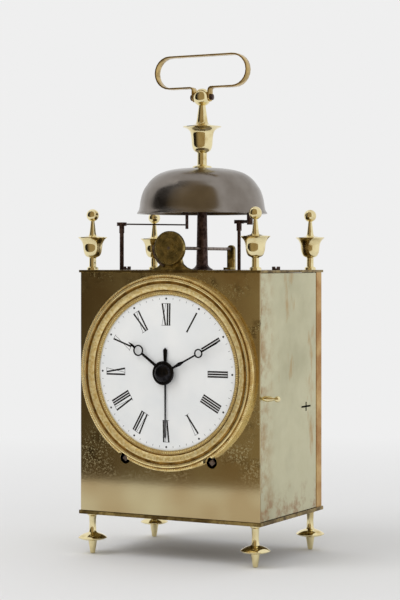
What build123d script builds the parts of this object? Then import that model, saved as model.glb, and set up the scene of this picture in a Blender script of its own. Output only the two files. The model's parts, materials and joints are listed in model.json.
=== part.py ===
from build123d import *
from math import acos, asin, atan2, cos, degrees, hypot, pi, radians, sin, sqrt
import os

# A capucine clock: a brass travelling clock with a bell, a carrying handle and an alarm.
# Millimetres, +Z up. The dial faces -Y. The origin is on the floor, under the middle of the box.
os.makedirs("parts", exist_ok=True)

# Case
case_width = 122.0
case_depth = 86.0
case_height = 145.0
front_thick = 1.0
door_thick = 1.2
overhang = 0.9
top_thick = 1.5
bottom_thick = 2.2
post_width = 10.0
post_depth = 7.3
turned_inset_x = 5.4
turned_inset_y = 5.0

# Clearances: sheet edges, running fits, and hands that pass over each other
edge_gap = 0.3
run_fit = 0.05
hand_gap = 0.4

# Doors and their knobs
hinge_bar = 2.6
hinge_pin_radius = 0.8
knob_length = 12.0
knob_root_radius = 0.9
knob_belly_radius = 1.7
knob_neck_radius = 0.6
knob_ball_radius = 1.8
knob_edge = 2.4
knob_height = 72.0
cross_long = 13.4
cross_tall = 5.5
cross_bar = 1.1
cross_stem = 1.6
cross_back = 20.4
cross_height = 63.3

# Flat facets round each turned form: enough to look round at its size, so that the model stays light
pin_facets = 10
screw_facets = 12
knob_facets = 8
foot_facets = 10
finial_facets = 12
urn_facets = 18
bell_facets = 36
disc_facets = 20
dial_facets = 48
bezel_facets = 48

# Turned feet and finials
foot_height = 24.6
foot_flange_radius = 3.25
foot_flange = 1.4
foot_shaft_radius = 2.2
foot_disc_radius = 8.8
foot_disc_bottom = 8.2
foot_disc_edge = 0.9
foot_disc_top = 12.6
foot_peg_radius = 2.7
foot_tip_radius = 1.5
finial_base_radius = 3.5
finial_base = 1.8
finial_stem_radius = 2.15
finial_cup_bottom = 7.8
finial_cup_height = 9.0
finial_cup_radius = 6.1
finial_brim_radius = 8.8
finial_brim = 3.2
finial_dish = 1.6
finial_neck_radius = 1.9
finial_neck_top_radius = 1.1
finial_ball_radius = 3.8
finial_height = 37.2

# Dial, bezel and hands
dial_drop = 59.5
dial_radius = 46.6
dial_edge = 2.0
dial_dome = 0.8
bezel_radius = 58.5
bezel_opening = 46.2
bezel_height = 5.6
bezel_rim = 2.7
bezel_band_drop = 1.0
bezel_band_slope = 0.6
bezel_lip = 2.6
hand_thick = 0.6
hour_tip = 30.5
hour_ring_at = 22.1
hour_ring_radius = 3.4
hour_angle = 306.0
minute_tip = 42.0
minute_ring_at = 26.4
minute_ring_radius = 2.75
minute_angle = 62.5
ring_wire = 0.8
ring_facets = 16
hand_boss = 2.0
alarm_tip = 39.0
alarm_tail = 13.6
alarm_angle = 180.0
collet_radius = 7.15
collet_thick = 0.9
nut_radius = 5.3
nut_dome = 2.5
nut_grip = 0.8

# Pipes and arbors of the dial work, each running in the next
centre_radius = 1.0
cannon_radius = 1.6
hour_pipe_radius = 2.3
alarm_pipe_radius = 3.0
dial_hole_radius = 3.4

# Winding
wind_x = 29.5
wind_drop = 52.2
wind_hole_radius = 3.5
wind_square = 3.0
wind_inset = 0.4
wind_radius = 2.4
ratchet_radius = 8.0
ratchet_teeth = 12
ratchet_thick = 1.4
ratchet_cut = 1.6
click_pivot = (-2.6, 14.8)

# Bell, its stand and the handle urn
bell_radius = 40.15
bell_height = 28.0
bell_wall = 1.4
bell_lift = 34.5
stand_base_radius = 6.5
stand_flare = 3.0
stand_foot_radius = 3.5
stand_top_radius = 2.5
spigot_radius = 1.7
spigot_length = 6.0
urn_base_radius = 6.0
urn_base = 1.6
urn_stem_radius = 2.95
urn_stem = 8.4
urn_cup = 12.6
urn_cup_radius = 6.75
urn_brim_radius = 11.8
urn_brim = 2.8
urn_dish = 1.9
urn_neck_radius = 3.4
urn_neck_top_radius = 2.15
urn_ball_radius = 5.5
urn_ball_lift = 43.7
urn_flat = 5.0

# Carrying handle
handle_width = 64.3
handle_height = 20.6
handle_rise = 5.6
strip_thick = 1.0
strip_width = 5.5
ear_bend = 1.8
handle_screw_radius = 1.0
handle_head_radius = 1.9
handle_head = 1.4
handle_screw_gap = 2.0

# Strike hammer and alarm hammer on the top plate, measured from the middle of the case
strike_at = (-50.0, -12.7)
strike_radius = 1.3
strike_top = 29.5
strike_foot = 73.0
strike_head_at = (-24.1, 24.5)
strike_bar = 1.5
strike_bar_drop = 2.6
strike_bar_length = 14.0
hammer_wire = 0.9
alarm_hammer_at = (24.5, 2.0)
alarm_hammer_radius = 1.05
alarm_hammer_top = 30.5
alarm_foot = 22.0
alarm_head_at = (35.1, -4.5)
alarm_head_radius = 1.8
alarm_head_drop = 2.0
alarm_head_length = 8.0
alarm_arm = 1.8
flange_radius = 3.05
flange_thick = 2.2
collar_radius = 1.6
collar_length = 4.4
tail_lift = 6.0
tail_thick = 2.0
hammer_cock_width = 7.0
hammer_cock_thick = 3.0
hammer_cock_lift = 1.0
hammer_cock_end = 3.0

# Alarm disc, its arbor, bracket and cock
alarm_height = 13.1
alarm_disc_radius = 10.2
alarm_disc_thick = 2.8
alarm_disc_depth = 0.6
alarm_arbor_radius = 1.05
bracket_thick = 3.0
bracket_base = 34.0
bracket_neck = 13.0
bracket_waist = 6.0
click_gap = 0.8
click_strip = 1.2
cock_width = 5.0
cock_thick = 2.4
cock_depth = 81.0
cock_foot = 5.0
cock_foot_thick = 1.4
arbor_end = 0.6
plate_screw_radius = 2.5
plate_screw_head = 2.1
plate_screw_x = 52.0
plate_screw_y = -3.0
slot_width = 0.8
slot_turn = -62.0

# Movement: plates, pillars and arbors
motion_room = 11.0
plate_thick = 2.0
plate_gap = 36.0
plate_side_gap = 1.8
plate_head_room = 5.0
plate_half_width = case_width / 2 - door_thick - plate_side_gap
plate_tall = case_height - plate_head_room
pillar_radius = 3.5
pillar_low = (50.0, 7.0)
pillar_inset = 5.8
pillar_high = (38.0, plate_tall - pillar_inset)
movement_screw_radius = 1.5
movement_head_radius = 2.6
movement_head = 2.4
arbor_radius = 0.9
pivot_reach = 1.6
stud_radius = 1.0

# Wheels: pitch radii and tooth counts, and tooth heights as shares of the pitch
wheel_thick = 1.5
wheel_boss = 1.8
wheel_rim = 1.4
spoke_width = 2.6
leaf_over = 0.5
drum_radius = 23.5
drum_length = 17.0
great_radius = 26.4
great_teeth = 36
centre_wheel_radius = 16.5
centre_teeth = 30
third_radius = 13.68
third_teeth = 24
pin_wheel_radius = 18.0
pin_teeth = 30
pinion_leaves = 6
escape_radius = 11.0
escape_teeth = 20
escape_cut = 2.2
minute_wheel_radius = 10.5
minute_teeth = 24
cannon_teeth = 8
hour_wheel_radius = 11.2
hour_teeth = 24
tooth_rise = 0.24
tooth_drop = 0.48
alarm_cam_radius = 8.0

# Anchor, crutch and pendulum
anchor_rise = 4.5
anchor_clearance = 0.9
anchor_wall = 2.3
crutch_length = 34.0
crutch_strip = 1.4
crutch_gap = 3.0
fork_gap = 0.6
pendulum_depth = 60.0
pendulum_drop = 102.0
rod_radius = 1.0
rod_end = 4.0
spring_length = 8.0
spring_thick = 0.4
bob_radius = 15.0
bob_thick = 7.0
cock_lift = 2.6
cock_arm = 4.0

# Strike train
pin_count = 10
pin_ring = 14.0
lift_pin = 1.2
pin_length_back = 3.6
fly_width = 22.0
fly_length = 10.0
fly_sheet = 0.5

# Heights
floor_to_bottom = foot_height
inside_low = floor_to_bottom + bottom_thick
inside_high = inside_low + case_height
plate_top = inside_high + top_thick
dial_z = inside_high - dial_drop
wind_z = dial_z - wind_drop

# Depths are counted from the face of the front sheet, towards the back
dial_front = -(dial_edge + dial_dome)
alarm_hand_back = dial_front - hand_gap
hour_hand_back = alarm_hand_back - hand_thick - hand_gap
minute_hand_back = hour_hand_back - hand_thick - hand_gap
collet_back = minute_hand_back - hand_thick
nut_back = collet_back - collet_thick
nut_front = nut_back - nut_dome

# The hand nut reaches furthest forward and the back door's knob furthest back
case_y = (-nut_front - knob_length) / 2
front_y = case_y - case_depth / 2
back_y = case_y + case_depth / 2
half_width = case_width / 2

# Depths of the movement's pieces
front_plate = front_thick + motion_room
plate_inside = front_plate + plate_thick
back_plate = plate_inside + plate_gap
back_plate_rear = back_plate + plate_thick
drum_front = plate_inside + 2.0
great_depth = drum_front + drum_length
inter_depth = great_depth + wheel_thick + 3.0
pin_depth = inter_depth + wheel_thick + 2.0
third_depth = pin_depth + 2.0
centre_depth = great_depth - 5.0
escape_depth = great_depth + 2.0
alarm_cam_depth = front_thick + 0.8
hour_wheel_depth = alarm_cam_depth + wheel_thick + 0.9
minute_wheel_depth = front_plate - 1.4 - wheel_thick


def facing(depth, at=(0.0, 0.0)):
    """The plane at this depth, seen from the dial side, with its origin at a point in X and Z."""
    return Plane(origin=(at[0], front_y + depth, at[1]), x_dir=(1, 0, 0), z_dir=(0, -1, 0))


def polar(radius, angle, centre=(0, 0)):
    """A point at a radius and an angle in radians from a centre."""
    return (centre[0] + radius * cos(angle), centre[1] + radius * sin(angle))


def arc(centre, radius, start, end, chords):
    """Points along an arc, with its angles in degrees."""
    turns = [radians(start + (end - start) * k / chords) for k in range(chords + 1)]
    return [polar(radius, turn, centre) for turn in turns]


def ball_outline(radius, centre, stem, chords):
    """Points of a turned ball, from its stem up to the small flat on its top."""
    start = -degrees(acos(stem / radius))
    return arc((0, centre), radius, start, degrees(acos(stem / radius)), chords)


def turned(profile, facets, plane=Plane.XY, hollow=False):
    """A turned solid with flat facets, from (radius, height) points along the plane's Z axis.

    A solid form is closed with a flat at each end of its profile, a hollow one by joining the ends.
    """
    turns = [2 * pi * k / facets for k in range(facets)]
    rings = [
        [plane.from_local_coords((*polar(radius, turn), height)) for turn in turns]
        for radius, height in profile
    ]
    ends = [] if hollow else [rings[0], rings[-1]]
    outlines = ends + [
        [low[k - 1], low[k], high[k], high[k - 1]]
        for low, high in zip(rings, rings[1:] + (rings[:1] if hollow else []))
        for k in range(facets)
    ]
    return Solid(Shell([Face(Wire.make_polygon(outline)) for outline in outlines]))


def bore(radius, facets=pin_facets):
    """Outline of a hole in which a bar of this radius runs freely, taken out of the sketch."""
    RegularPolygon(radius + run_fit, facets, major_radius=False, mode=Mode.SUBTRACT)


def pinion_of(wheel_radius, teeth, leaves=pinion_leaves):
    """Pitch radius of the pinion that a wheel of this size drives."""
    return wheel_radius * leaves / teeth


def tooth_points(radius, teeth, turn):
    """Outline of a toothed wheel, each tooth and each gap cut to a V."""
    step = 2 * pi / teeth
    tip, root = radius * (1 + tooth_rise * step), radius * (1 - tooth_drop * step)
    ends = [(polar(tip, turn + i * step), polar(root, turn + (i + 0.5) * step)) for i in range(teeth)]
    return [point for pair in ends for point in pair]


def mesh_turn(teeth, turn, leaves, direction):
    """Angle of a leaf on the driven pinion, so that its gap meets the wheel's tooth."""
    share = (direction - turn) * teeth / (2 * pi)
    return direction + pi - (2 * pi / leaves) * (0.5 - share)


def crossing(inner, outer, spoke):
    """One of the four windows between the crossings of a wheel."""
    narrow = pi / 4 - asin(spoke / 2 / inner)
    wide = pi / 4 - asin(spoke / 2 / outer)
    rim = [polar(outer, wide * k / 3) for k in (-3, -1, 1, 3)]
    return [polar(inner, -narrow)] + rim + [polar(inner, narrow)]


def meeting(first, second, reach_first, reach_second):
    """The point that lies at the given reaches from two points, to the right of the line."""
    dx, dz = second[0] - first[0], second[1] - first[1]
    span = hypot(dx, dz)
    along = (reach_first**2 - reach_second**2 + span**2) / (2 * span)
    aside = sqrt(reach_first**2 - along**2)
    return (
        first[0] + (along * dx + aside * dz) / span,
        first[1] + (along * dz - aside * dx) / span,
    )


def bearing(first, second):
    """Angle of the line from one arbor to another."""
    return atan2(second[1] - first[1], second[0] - first[0])


# Arbor places, in X and Z
centre_at = (0.0, dial_z)
going_at = (wind_x, wind_z)
striking_at = (-wind_x, wind_z)
great_pinion = pinion_of(great_radius, great_teeth)
great_reach = great_radius + great_pinion
inter_at = meeting(going_at, centre_at, great_reach, great_reach)
pin_at = (-inter_at[0], inter_at[1])
third_pinion = pinion_of(centre_wheel_radius, centre_teeth)
third_at = polar(centre_wheel_radius + third_pinion, radians(60), centre_at)
escape_pinion = pinion_of(third_radius, third_teeth)
escape_reach = third_radius + escape_pinion
escape_at = (0.0, third_at[1] + sqrt(escape_reach**2 - third_at[0] ** 2))
anchor_at = (0.0, escape_at[1] + escape_radius + anchor_rise)
fly_pinion = pinion_of(pin_wheel_radius, pin_teeth)
fly_at = polar(pin_wheel_radius + fly_pinion, radians(100), pin_at)
motion_reach = minute_wheel_radius * (1 + cannon_teeth / minute_teeth)
minute_at = polar(motion_reach, radians(200), centre_at)
minute_pinion = motion_reach - hour_wheel_radius

# Tooth angles at rest
going_turn = 0.0
inter_pinion_turn = mesh_turn(great_teeth, going_turn, pinion_leaves, bearing(going_at, inter_at))
inter_turn = 0.0
centre_pinion_turn = mesh_turn(great_teeth, inter_turn, pinion_leaves, bearing(inter_at, centre_at))
centre_turn = 0.0
third_pinion_turn = mesh_turn(centre_teeth, centre_turn, pinion_leaves, bearing(centre_at, third_at))
third_turn = 0.0
escape_pinion_turn = mesh_turn(third_teeth, third_turn, pinion_leaves, bearing(third_at, escape_at))
pin_pinion_turn = mesh_turn(great_teeth, 0.0, pinion_leaves, bearing(striking_at, pin_at))
pin_turn = 0.0
fly_turn = mesh_turn(pin_teeth, pin_turn, pinion_leaves, bearing(pin_at, fly_at))
minute_turn = 0.0
cannon_turn = mesh_turn(minute_teeth, minute_turn, cannon_teeth, bearing(minute_at, centre_at))
minute_pinion_turn = 0.0
hour_turn = mesh_turn(pinion_leaves, minute_pinion_turn, hour_teeth, bearing(minute_at, centre_at))

corners = [
    (sx * (half_width - turned_inset_x), case_y + sy * (case_depth / 2 - turned_inset_y))
    for sx in (-1, 1)
    for sy in (-1, 1)
]
pillar_places = [
    (sx * x, inside_low + z) for x, z in (pillar_low, pillar_high) for sx in (-1, 1)
]

# Hinge lines of the three doors
hinge_inset = hinge_bar / 2
side_hinge_x = half_width - hinge_inset
side_hinge_y = back_y - post_depth - edge_gap - hinge_inset
back_hinge_x = half_width - post_width - edge_gap - hinge_inset
back_hinge_y = back_y - hinge_inset
hinge_places = [
    (side_hinge_x, side_hinge_y),
    (-side_hinge_x, side_hinge_y),
    (back_hinge_x, back_hinge_y),
]
door_low = inside_low + edge_gap
door_high = inside_high - edge_gap
door_front_y = front_y + front_thick + edge_gap
movement_screw_y = front_y + plate_inside + plate_gap / 3
movement_screw_places = [(sx * pillar_low[0], movement_screw_y) for sx in (-1, 1)]

# Bottom plate, with the hinge holes and two holes for the movement's screws
with BuildPart() as bottom_plate:
    with BuildSketch(Plane.XY.offset(floor_to_bottom)):
        with Locations((0, case_y)):
            Rectangle(case_width + 2 * overhang, case_depth + 2 * overhang)
        with Locations(*movement_screw_places):
            RegularPolygon(movement_screw_radius, screw_facets, mode=Mode.SUBTRACT)
    extrude(amount=bottom_thick)
    with BuildSketch(Plane.XY.offset(inside_low)):
        with Locations(*hinge_places):
            RegularPolygon(hinge_pin_radius + run_fit, pin_facets, major_radius=False)
    extrude(amount=-bottom_thick / 2, mode=Mode.SUBTRACT)
bottom_plate.part.label = "bottom_plate"
export_step(bottom_plate.part, "parts/bottom_plate.step")

# Top plate, with the hinge holes and the two holes that the hammer arbors pass
with BuildPart() as top_plate:
    with BuildSketch(Plane.XY.offset(inside_high)):
        with Locations((0, case_y)):
            Rectangle(case_width + 2 * overhang, case_depth + 2 * overhang)
        with Locations((strike_at[0], case_y + strike_at[1])):
            bore(strike_radius)
        with Locations((alarm_hammer_at[0], case_y + alarm_hammer_at[1])):
            bore(alarm_hammer_radius)
    extrude(amount=top_thick)
    with BuildSketch(Plane.XY.offset(inside_high)):
        with Locations(*hinge_places):
            RegularPolygon(hinge_pin_radius + run_fit, pin_facets, major_radius=False)
    extrude(amount=top_thick / 2, mode=Mode.SUBTRACT)
top_plate.part.label = "top_plate"
export_step(top_plate.part, "parts/top_plate.step")

# Front sheet, with the two winding holes and the hole for the hand pipes
with BuildPart() as front_sheet:
    with BuildSketch(facing(front_thick)):
        with Locations((0, inside_low + case_height / 2)):
            Rectangle(case_width, case_height)
        with Locations(going_at, striking_at):
            RegularPolygon(wind_hole_radius, finial_facets, mode=Mode.SUBTRACT)
        with Locations(centre_at):
            RegularPolygon(dial_hole_radius, finial_facets, mode=Mode.SUBTRACT)
    extrude(amount=front_thick)
front_sheet.part.label = "front_sheet"
export_step(front_sheet.part, "parts/front_sheet.step")

# Four corner posts: the front pair behind the sheet and doors, the rear pair flush with the sides
front_post_x = half_width - door_thick - edge_gap - post_width / 2
rear_post_x = half_width - post_width / 2
front_post_y = front_y + front_thick + post_depth / 2
rear_post_y = back_y - post_depth / 2
with BuildPart() as corner_posts:
    with BuildSketch(Plane.XY.offset(inside_low)):
        for sx in (-1, 1):
            with Locations((sx * front_post_x, front_post_y), (sx * rear_post_x, rear_post_y)):
                Rectangle(post_width, post_depth)
    extrude(amount=case_height)
corner_posts.part.label = "corner_posts"
export_step(corner_posts.part, "parts/corner_posts.step")

# Turned feet: a tapered peg under a lens-shaped disc, a plain shaft and a flange
foot_profile = [
    (foot_tip_radius, 0),
    (foot_peg_radius, foot_disc_bottom),
    (foot_disc_radius, foot_disc_bottom + foot_disc_edge),
    (foot_shaft_radius, foot_disc_top),
    (foot_shaft_radius, foot_height - foot_flange),
    (foot_flange_radius, foot_height - foot_flange),
    (foot_flange_radius, foot_height),
]
foot = turned(foot_profile, foot_facets)
with BuildPart() as feet:
    with Locations(*corners):
        add(foot)
feet.part.label = "feet"
export_step(feet.part, "parts/feet.step")

# Turned finials: base, stem, urn cup with a brim, neck and ball
cup_top = finial_cup_bottom + finial_cup_height
brim_top = cup_top + finial_brim
finial_profile = [
    (finial_base_radius, 0),
    (finial_base_radius, finial_base),
    (finial_stem_radius, finial_base),
    (finial_stem_radius, finial_cup_bottom),
    (finial_cup_radius * 0.85, finial_cup_bottom + finial_cup_height / 3),
    (finial_cup_radius, cup_top),
    (finial_brim_radius, brim_top),
    (finial_neck_radius, brim_top + finial_dish),
    *ball_outline(finial_ball_radius, finial_height - finial_ball_radius, finial_neck_top_radius, 4),
]
finial = turned(finial_profile, finial_facets)
with BuildPart() as finials:
    with Locations(*[(x, y, plate_top) for x, y in corners]):
        add(finial)
finials.part.label = "finials"
export_step(finials.part, "parts/finials.step")

# Enamel dial on its copper plate, slightly domed, with one hole for the pipes
dial_profile = [(dial_radius, 0), (dial_radius, dial_edge), (dial_radius / 2, dial_edge + dial_dome)]
dial_blank = turned(dial_profile, dial_facets, facing(0, centre_at))
with BuildPart() as dial:
    add(dial_blank)
    with BuildSketch(facing(0, centre_at)):
        RegularPolygon(dial_hole_radius, finial_facets)
    extrude(amount=dial_edge + dial_dome, mode=Mode.SUBTRACT)
dial.part.label = "dial"
export_step(dial.part, "parts/dial.step")

# Cast bezel round the dial: outer rim, sloping band, inner lip and a rebate for the dial's edge
bezel_rebate = dial_edge + edge_gap
bezel_profile = [
    (dial_radius + edge_gap, 0),
    (bezel_radius, 0),
    (bezel_radius, bezel_height),
    (bezel_radius - bezel_rim, bezel_height),
    (bezel_radius - bezel_rim, bezel_height - bezel_band_drop),
    (bezel_opening + bezel_lip, bezel_height - bezel_band_drop - bezel_band_slope),
    (bezel_opening, bezel_rebate),
    (dial_radius + edge_gap, bezel_rebate),
]
bezel_ring = turned(bezel_profile, bezel_facets, facing(0, centre_at), hollow=True)
with BuildPart() as bezel:
    add(bezel_ring)
    with BuildSketch(facing(0)):
        with Locations(going_at, striking_at):
            RegularPolygon(wind_hole_radius + edge_gap, finial_facets)
    extrude(amount=bezel_height, mode=Mode.SUBTRACT)
bezel.part.label = "bezel"
export_step(bezel.part, "parts/bezel.step")


def door_leaf(start, end, hinge, pin_length):
    """A door seen from above: a sheet between two corners, a round hinge bar and two hinge pins."""
    (x1, y1), (x2, y2) = start, end
    with BuildPart() as leaf:
        with BuildSketch(Plane.XY.offset(door_low)) as section:
            with Locations(((x1 + x2) / 2, (y1 + y2) / 2)):
                Rectangle(abs(x2 - x1), abs(y2 - y1))
            with Locations(hinge):
                RegularPolygon(hinge_inset, hinge_facets, major_radius=False, rotation=22.5)
        extrude(section.sketch, amount=door_high - door_low)
        with BuildSketch(Plane.XY.offset(door_low - pin_length)) as pin:
            with Locations(hinge):
                RegularPolygon(hinge_pin_radius, pin_facets)
        extrude(pin.sketch, amount=door_high - door_low + 2 * pin_length)
    return leaf.part


# The two side doors, each with a cross-shaped peep hole cut through the sheet
hinge_facets = 8
pin_length = edge_gap + top_thick / 3
for side, label in ((1, "right_door"), (-1, "left_door")):
    outer, inner = side * half_width, side * (half_width - door_thick)
    hinge_at = (side * side_hinge_x, side_hinge_y)
    leaf = door_leaf((outer, door_front_y), (inner, side_hinge_y), hinge_at, pin_length)
    with BuildPart() as side_door:
        add(leaf)
        with BuildSketch(Plane.YZ.offset(inner)):
            with Locations((case_y + cross_back, inside_low + cross_height)):
                Rectangle(cross_long, cross_bar)
                Rectangle(cross_stem, cross_tall)
        extrude(amount=side * door_thick, mode=Mode.SUBTRACT)
    side_door.part.label = label
    export_step(side_door.part, f"parts/{label}.step")

# Back door between the rear posts, hung on the right-hand post
back_free_x = -(half_width - post_width - edge_gap)
back_leaf = door_leaf(
    (back_free_x, back_y), (back_hinge_x, back_y - door_thick), (back_hinge_x, back_hinge_y), pin_length
)
with BuildPart() as back_door:
    add(back_leaf)
back_door.part.label = "back_door"
export_step(back_door.part, "parts/back_door.step")

# Turned pull knob, the same on the right door and the back door: a slim baluster and a small ball
knob_profile = [
    (knob_root_radius, 0),
    (knob_belly_radius, knob_length / 3),
    (knob_neck_radius, knob_length - 2 * knob_ball_radius),
    (knob_ball_radius, knob_length - 1.5 * knob_ball_radius),
    (knob_ball_radius, knob_length - 0.6 * knob_ball_radius),
    (knob_ball_radius / 3, knob_length),
]
knob = turned(knob_profile, knob_facets)
knob_z = inside_low + knob_height
knob_places = {
    "right_door_knob": Location((half_width, front_y + knob_edge, knob_z), (0, 90, 0)),
    "back_door_knob": Location((back_free_x + knob_edge, back_y, knob_z), (-90, 0, 0)),
}
for label, place in knob_places.items():
    with BuildPart() as door_knob:
        with Locations(place):
            add(knob)
    door_knob.part.label = label
    export_step(door_knob.part, f"parts/{label}.step")

# Iron bell stand: flared base, tapered pillar with a cross hole for the alarm arbor, and a spigot
bell_rim = plate_top + bell_lift
bell_top = bell_rim + bell_height
bell_seat = bell_top - bell_wall
spigot_top = bell_top + spigot_length
alarm_z = plate_top + alarm_height
stand_profile = [
    (stand_base_radius, plate_top),
    (stand_foot_radius, plate_top + stand_flare),
    (stand_top_radius, bell_seat),
    (spigot_radius, bell_seat),
    (spigot_radius, spigot_top),
]
stand_turning = turned(stand_profile, finial_facets, Plane((0, case_y, 0)))
with BuildPart() as bell_stand:
    add(stand_turning)
    with BuildSketch(facing(case_depth / 2 + stand_base_radius, (0, alarm_z))):
        RegularPolygon(alarm_arbor_radius + run_fit, pin_facets, major_radius=False)
    extrude(amount=2 * stand_base_radius, mode=Mode.SUBTRACT)
bell_stand.part.label = "bell_stand"
export_step(bell_stand.part, "parts/bell_stand.step")

# Bell of cast bell metal, from the inside of its crown down to the rim and up the outside
bell_outside = [
    (bell_radius, bell_rim),
    (bell_radius - 1.8, bell_rim + 6.0),
    (bell_radius - 5.6, bell_rim + 17.0),
    (bell_radius - 9.4, bell_top - 6.0),
    (bell_radius - 16.5, bell_top - 2.2),
    (bell_radius - 27.0, bell_top),
]
bell_inside = [(radius - bell_wall, height - bell_wall) for radius, height in bell_outside[:0:-1]]
bell_inside.append((bell_radius - bell_wall, bell_rim))
bell_turning = turned(bell_inside + bell_outside, bell_facets, Plane((0, case_y, 0)))
with BuildPart() as bell:
    add(bell_turning)
    with BuildSketch(Plane.XY.offset(bell_seat)):
        with Locations((0, case_y)):
            RegularPolygon(spigot_radius + run_fit, finial_facets, major_radius=False)
    extrude(amount=bell_wall, mode=Mode.SUBTRACT)
bell.part.label = "bell"
export_step(bell.part, "parts/bell.step")

# Handle urn: the nut on the bell, turned like the finials, with a drilled ball for the handle
urn_cup_foot = bell_top + urn_base + urn_stem
urn_brim_foot = urn_cup_foot + urn_cup
urn_brim_top = urn_brim_foot + urn_brim
pivot_z = bell_top + urn_ball_lift
urn_profile = [
    (spigot_radius + run_fit, spigot_top + run_fit),
    (spigot_radius + run_fit, bell_top),
    (urn_base_radius, bell_top),
    (urn_base_radius, bell_top + urn_base),
    (urn_stem_radius, bell_top + urn_base),
    (urn_stem_radius, urn_cup_foot),
    (urn_cup_radius * 0.85, urn_cup_foot + urn_cup / 3),
    (urn_cup_radius, urn_brim_foot),
    (urn_brim_radius, urn_brim_top),
    (urn_neck_radius, urn_brim_top + urn_dish),
    *ball_outline(urn_ball_radius, pivot_z, urn_neck_top_radius, 6),
]
urn_turning = turned(urn_profile, urn_facets, Plane((0, case_y, 0)))
with BuildPart() as handle_urn:
    add(urn_turning)
    for sx in (-1, 1):
        with BuildSketch(Plane.YZ.offset(sx * urn_flat)):
            with Locations((case_y, pivot_z)):
                Rectangle(2 * urn_ball_radius, 2 * urn_ball_radius)
        extrude(amount=sx * urn_ball_radius, mode=Mode.SUBTRACT)
    with BuildSketch(Plane.YZ.offset(-urn_flat)):
        with Locations((case_y, pivot_z)):
            RegularPolygon(handle_screw_radius, pin_facets)
    extrude(amount=2 * urn_flat, mode=Mode.SUBTRACT)
handle_urn.part.label = "handle_urn"
export_step(handle_urn.part, "parts/handle_urn.step")

# Carrying handle: one flat strip bent to a long loop, its ends turned down to round ears
ear_x = urn_flat + run_fit + strip_thick / 2
loop_x = handle_width / 2 - strip_thick / 2
loop_low = pivot_z + handle_rise + strip_thick / 2
loop_bend = (handle_height - strip_thick) / 2


def strip_face(side):
    """Points along one face of the bent strip, from the right ear round the loop to the left ear."""
    ear = arc((ear_x + ear_bend, loop_low - ear_bend), ear_bend + side, 180, 90, 3)
    loop = arc((loop_x - loop_bend, loop_low + loop_bend), loop_bend - side, -90, 90, 12)
    right = [(ear_x - side, pivot_z), *ear, *loop]
    return right + [(-x, z) for x, z in right[::-1]]


with BuildPart() as carrying_handle:
    with BuildSketch(Plane.XZ.offset(-case_y - strip_width / 2)):
        Polygon(*strip_face(strip_thick / 2), *strip_face(-strip_thick / 2)[::-1])
    extrude(amount=strip_width)
    for sx in (-1, 1):
        with BuildSketch(Plane.YZ.offset(sx * (ear_x - strip_thick / 2))):
            with Locations((case_y, pivot_z)):
                RegularPolygon(strip_width / 2, screw_facets)
        extrude(amount=sx * strip_thick)
    with BuildSketch(Plane.YZ.offset(-ear_x - strip_thick)):
        with Locations((case_y, pivot_z)):
            RegularPolygon(handle_screw_radius + run_fit, pin_facets, major_radius=False)
    extrude(amount=2 * (ear_x + strip_thick), mode=Mode.SUBTRACT)
carrying_handle.part.label = "carrying_handle"
export_step(carrying_handle.part, "parts/carrying_handle.step")

# The two round-headed screws that the handle swings on
head_inside = ear_x + strip_thick / 2 + run_fit
with BuildPart() as handle_screws:
    for sx in (-1, 1):
        with BuildSketch(Plane.YZ.offset(sx * head_inside)):
            with Locations((case_y, pivot_z)):
                RegularPolygon(handle_head_radius, screw_facets)
        extrude(amount=sx * handle_head)
        with BuildSketch(Plane.YZ.offset(sx * head_inside)):
            with Locations((case_y, pivot_z)):
                RegularPolygon(handle_screw_radius, pin_facets)
        extrude(amount=-sx * (head_inside - handle_screw_gap / 2))
handle_screws.part.label = "handle_screws"
export_step(handle_screws.part, "parts/handle_screws.step")


def hammer_arbor(at, radius, low, top, tail_length, tail_turn):
    """An upright hammer arbor with its collar, its flange and its tail lever, and where it stands."""
    place = Location((at[0], case_y + at[1], 0))
    profile = [
        (radius, low),
        (radius, top - collar_length),
        (collar_radius, top - collar_length),
        (collar_radius, top),
        (flange_radius, top),
        (flange_radius, top + flange_thick),
    ]
    with BuildPart() as arbor:
        add(turned(profile, screw_facets))
        with BuildSketch(Plane.XY.offset(low + tail_lift)) as tail:
            with Locations(Location((0, 0, 0), tail_turn)):
                Rectangle(tail_length, 2 * radius, align=(Align.MIN, Align.CENTER))
        extrude(tail.sketch, amount=tail_thick)
    return arbor.part.moved(place)


# Strike hammer: its upright arbor comes up through the top plate beside the bell
strike_low = inside_low + strike_foot
strike_top_z = plate_top + strike_top - flange_thick
strike_arbor = hammer_arbor(strike_at, strike_radius, strike_low, strike_top_z, 12.0, 40.0)
with BuildPart() as strike_hammer_arbor:
    add(strike_arbor)
strike_hammer_arbor.part.label = "strike_hammer_arbor"
export_step(strike_hammer_arbor.part, "parts/strike_hammer_arbor.step")

# Its wire arm reaches under the bell to a square hammer bar
strike_arm_z = strike_top_z + flange_thick / 2
strike_turn = degrees(bearing(strike_at, strike_head_at))
strike_span = hypot(strike_head_at[0] - strike_at[0], strike_head_at[1] - strike_at[1])
strike_place = Location((strike_at[0], case_y + strike_at[1], strike_arm_z), strike_turn)
with BuildPart() as strike_hammer:
    with Locations(strike_place):
        with Locations((flange_radius, 0, 0)):
            Box(strike_span - flange_radius, hammer_wire, hammer_wire, align=(Align.MIN, Align.CENTER, Align.CENTER))
        with Locations((strike_span, 0, -strike_bar_drop)):
            Box(strike_bar, strike_bar, strike_bar_length, align=(Align.CENTER, Align.CENTER, Align.MIN))
strike_hammer.part.label = "strike_hammer"
export_step(strike_hammer.part, "parts/strike_hammer.step")

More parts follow.
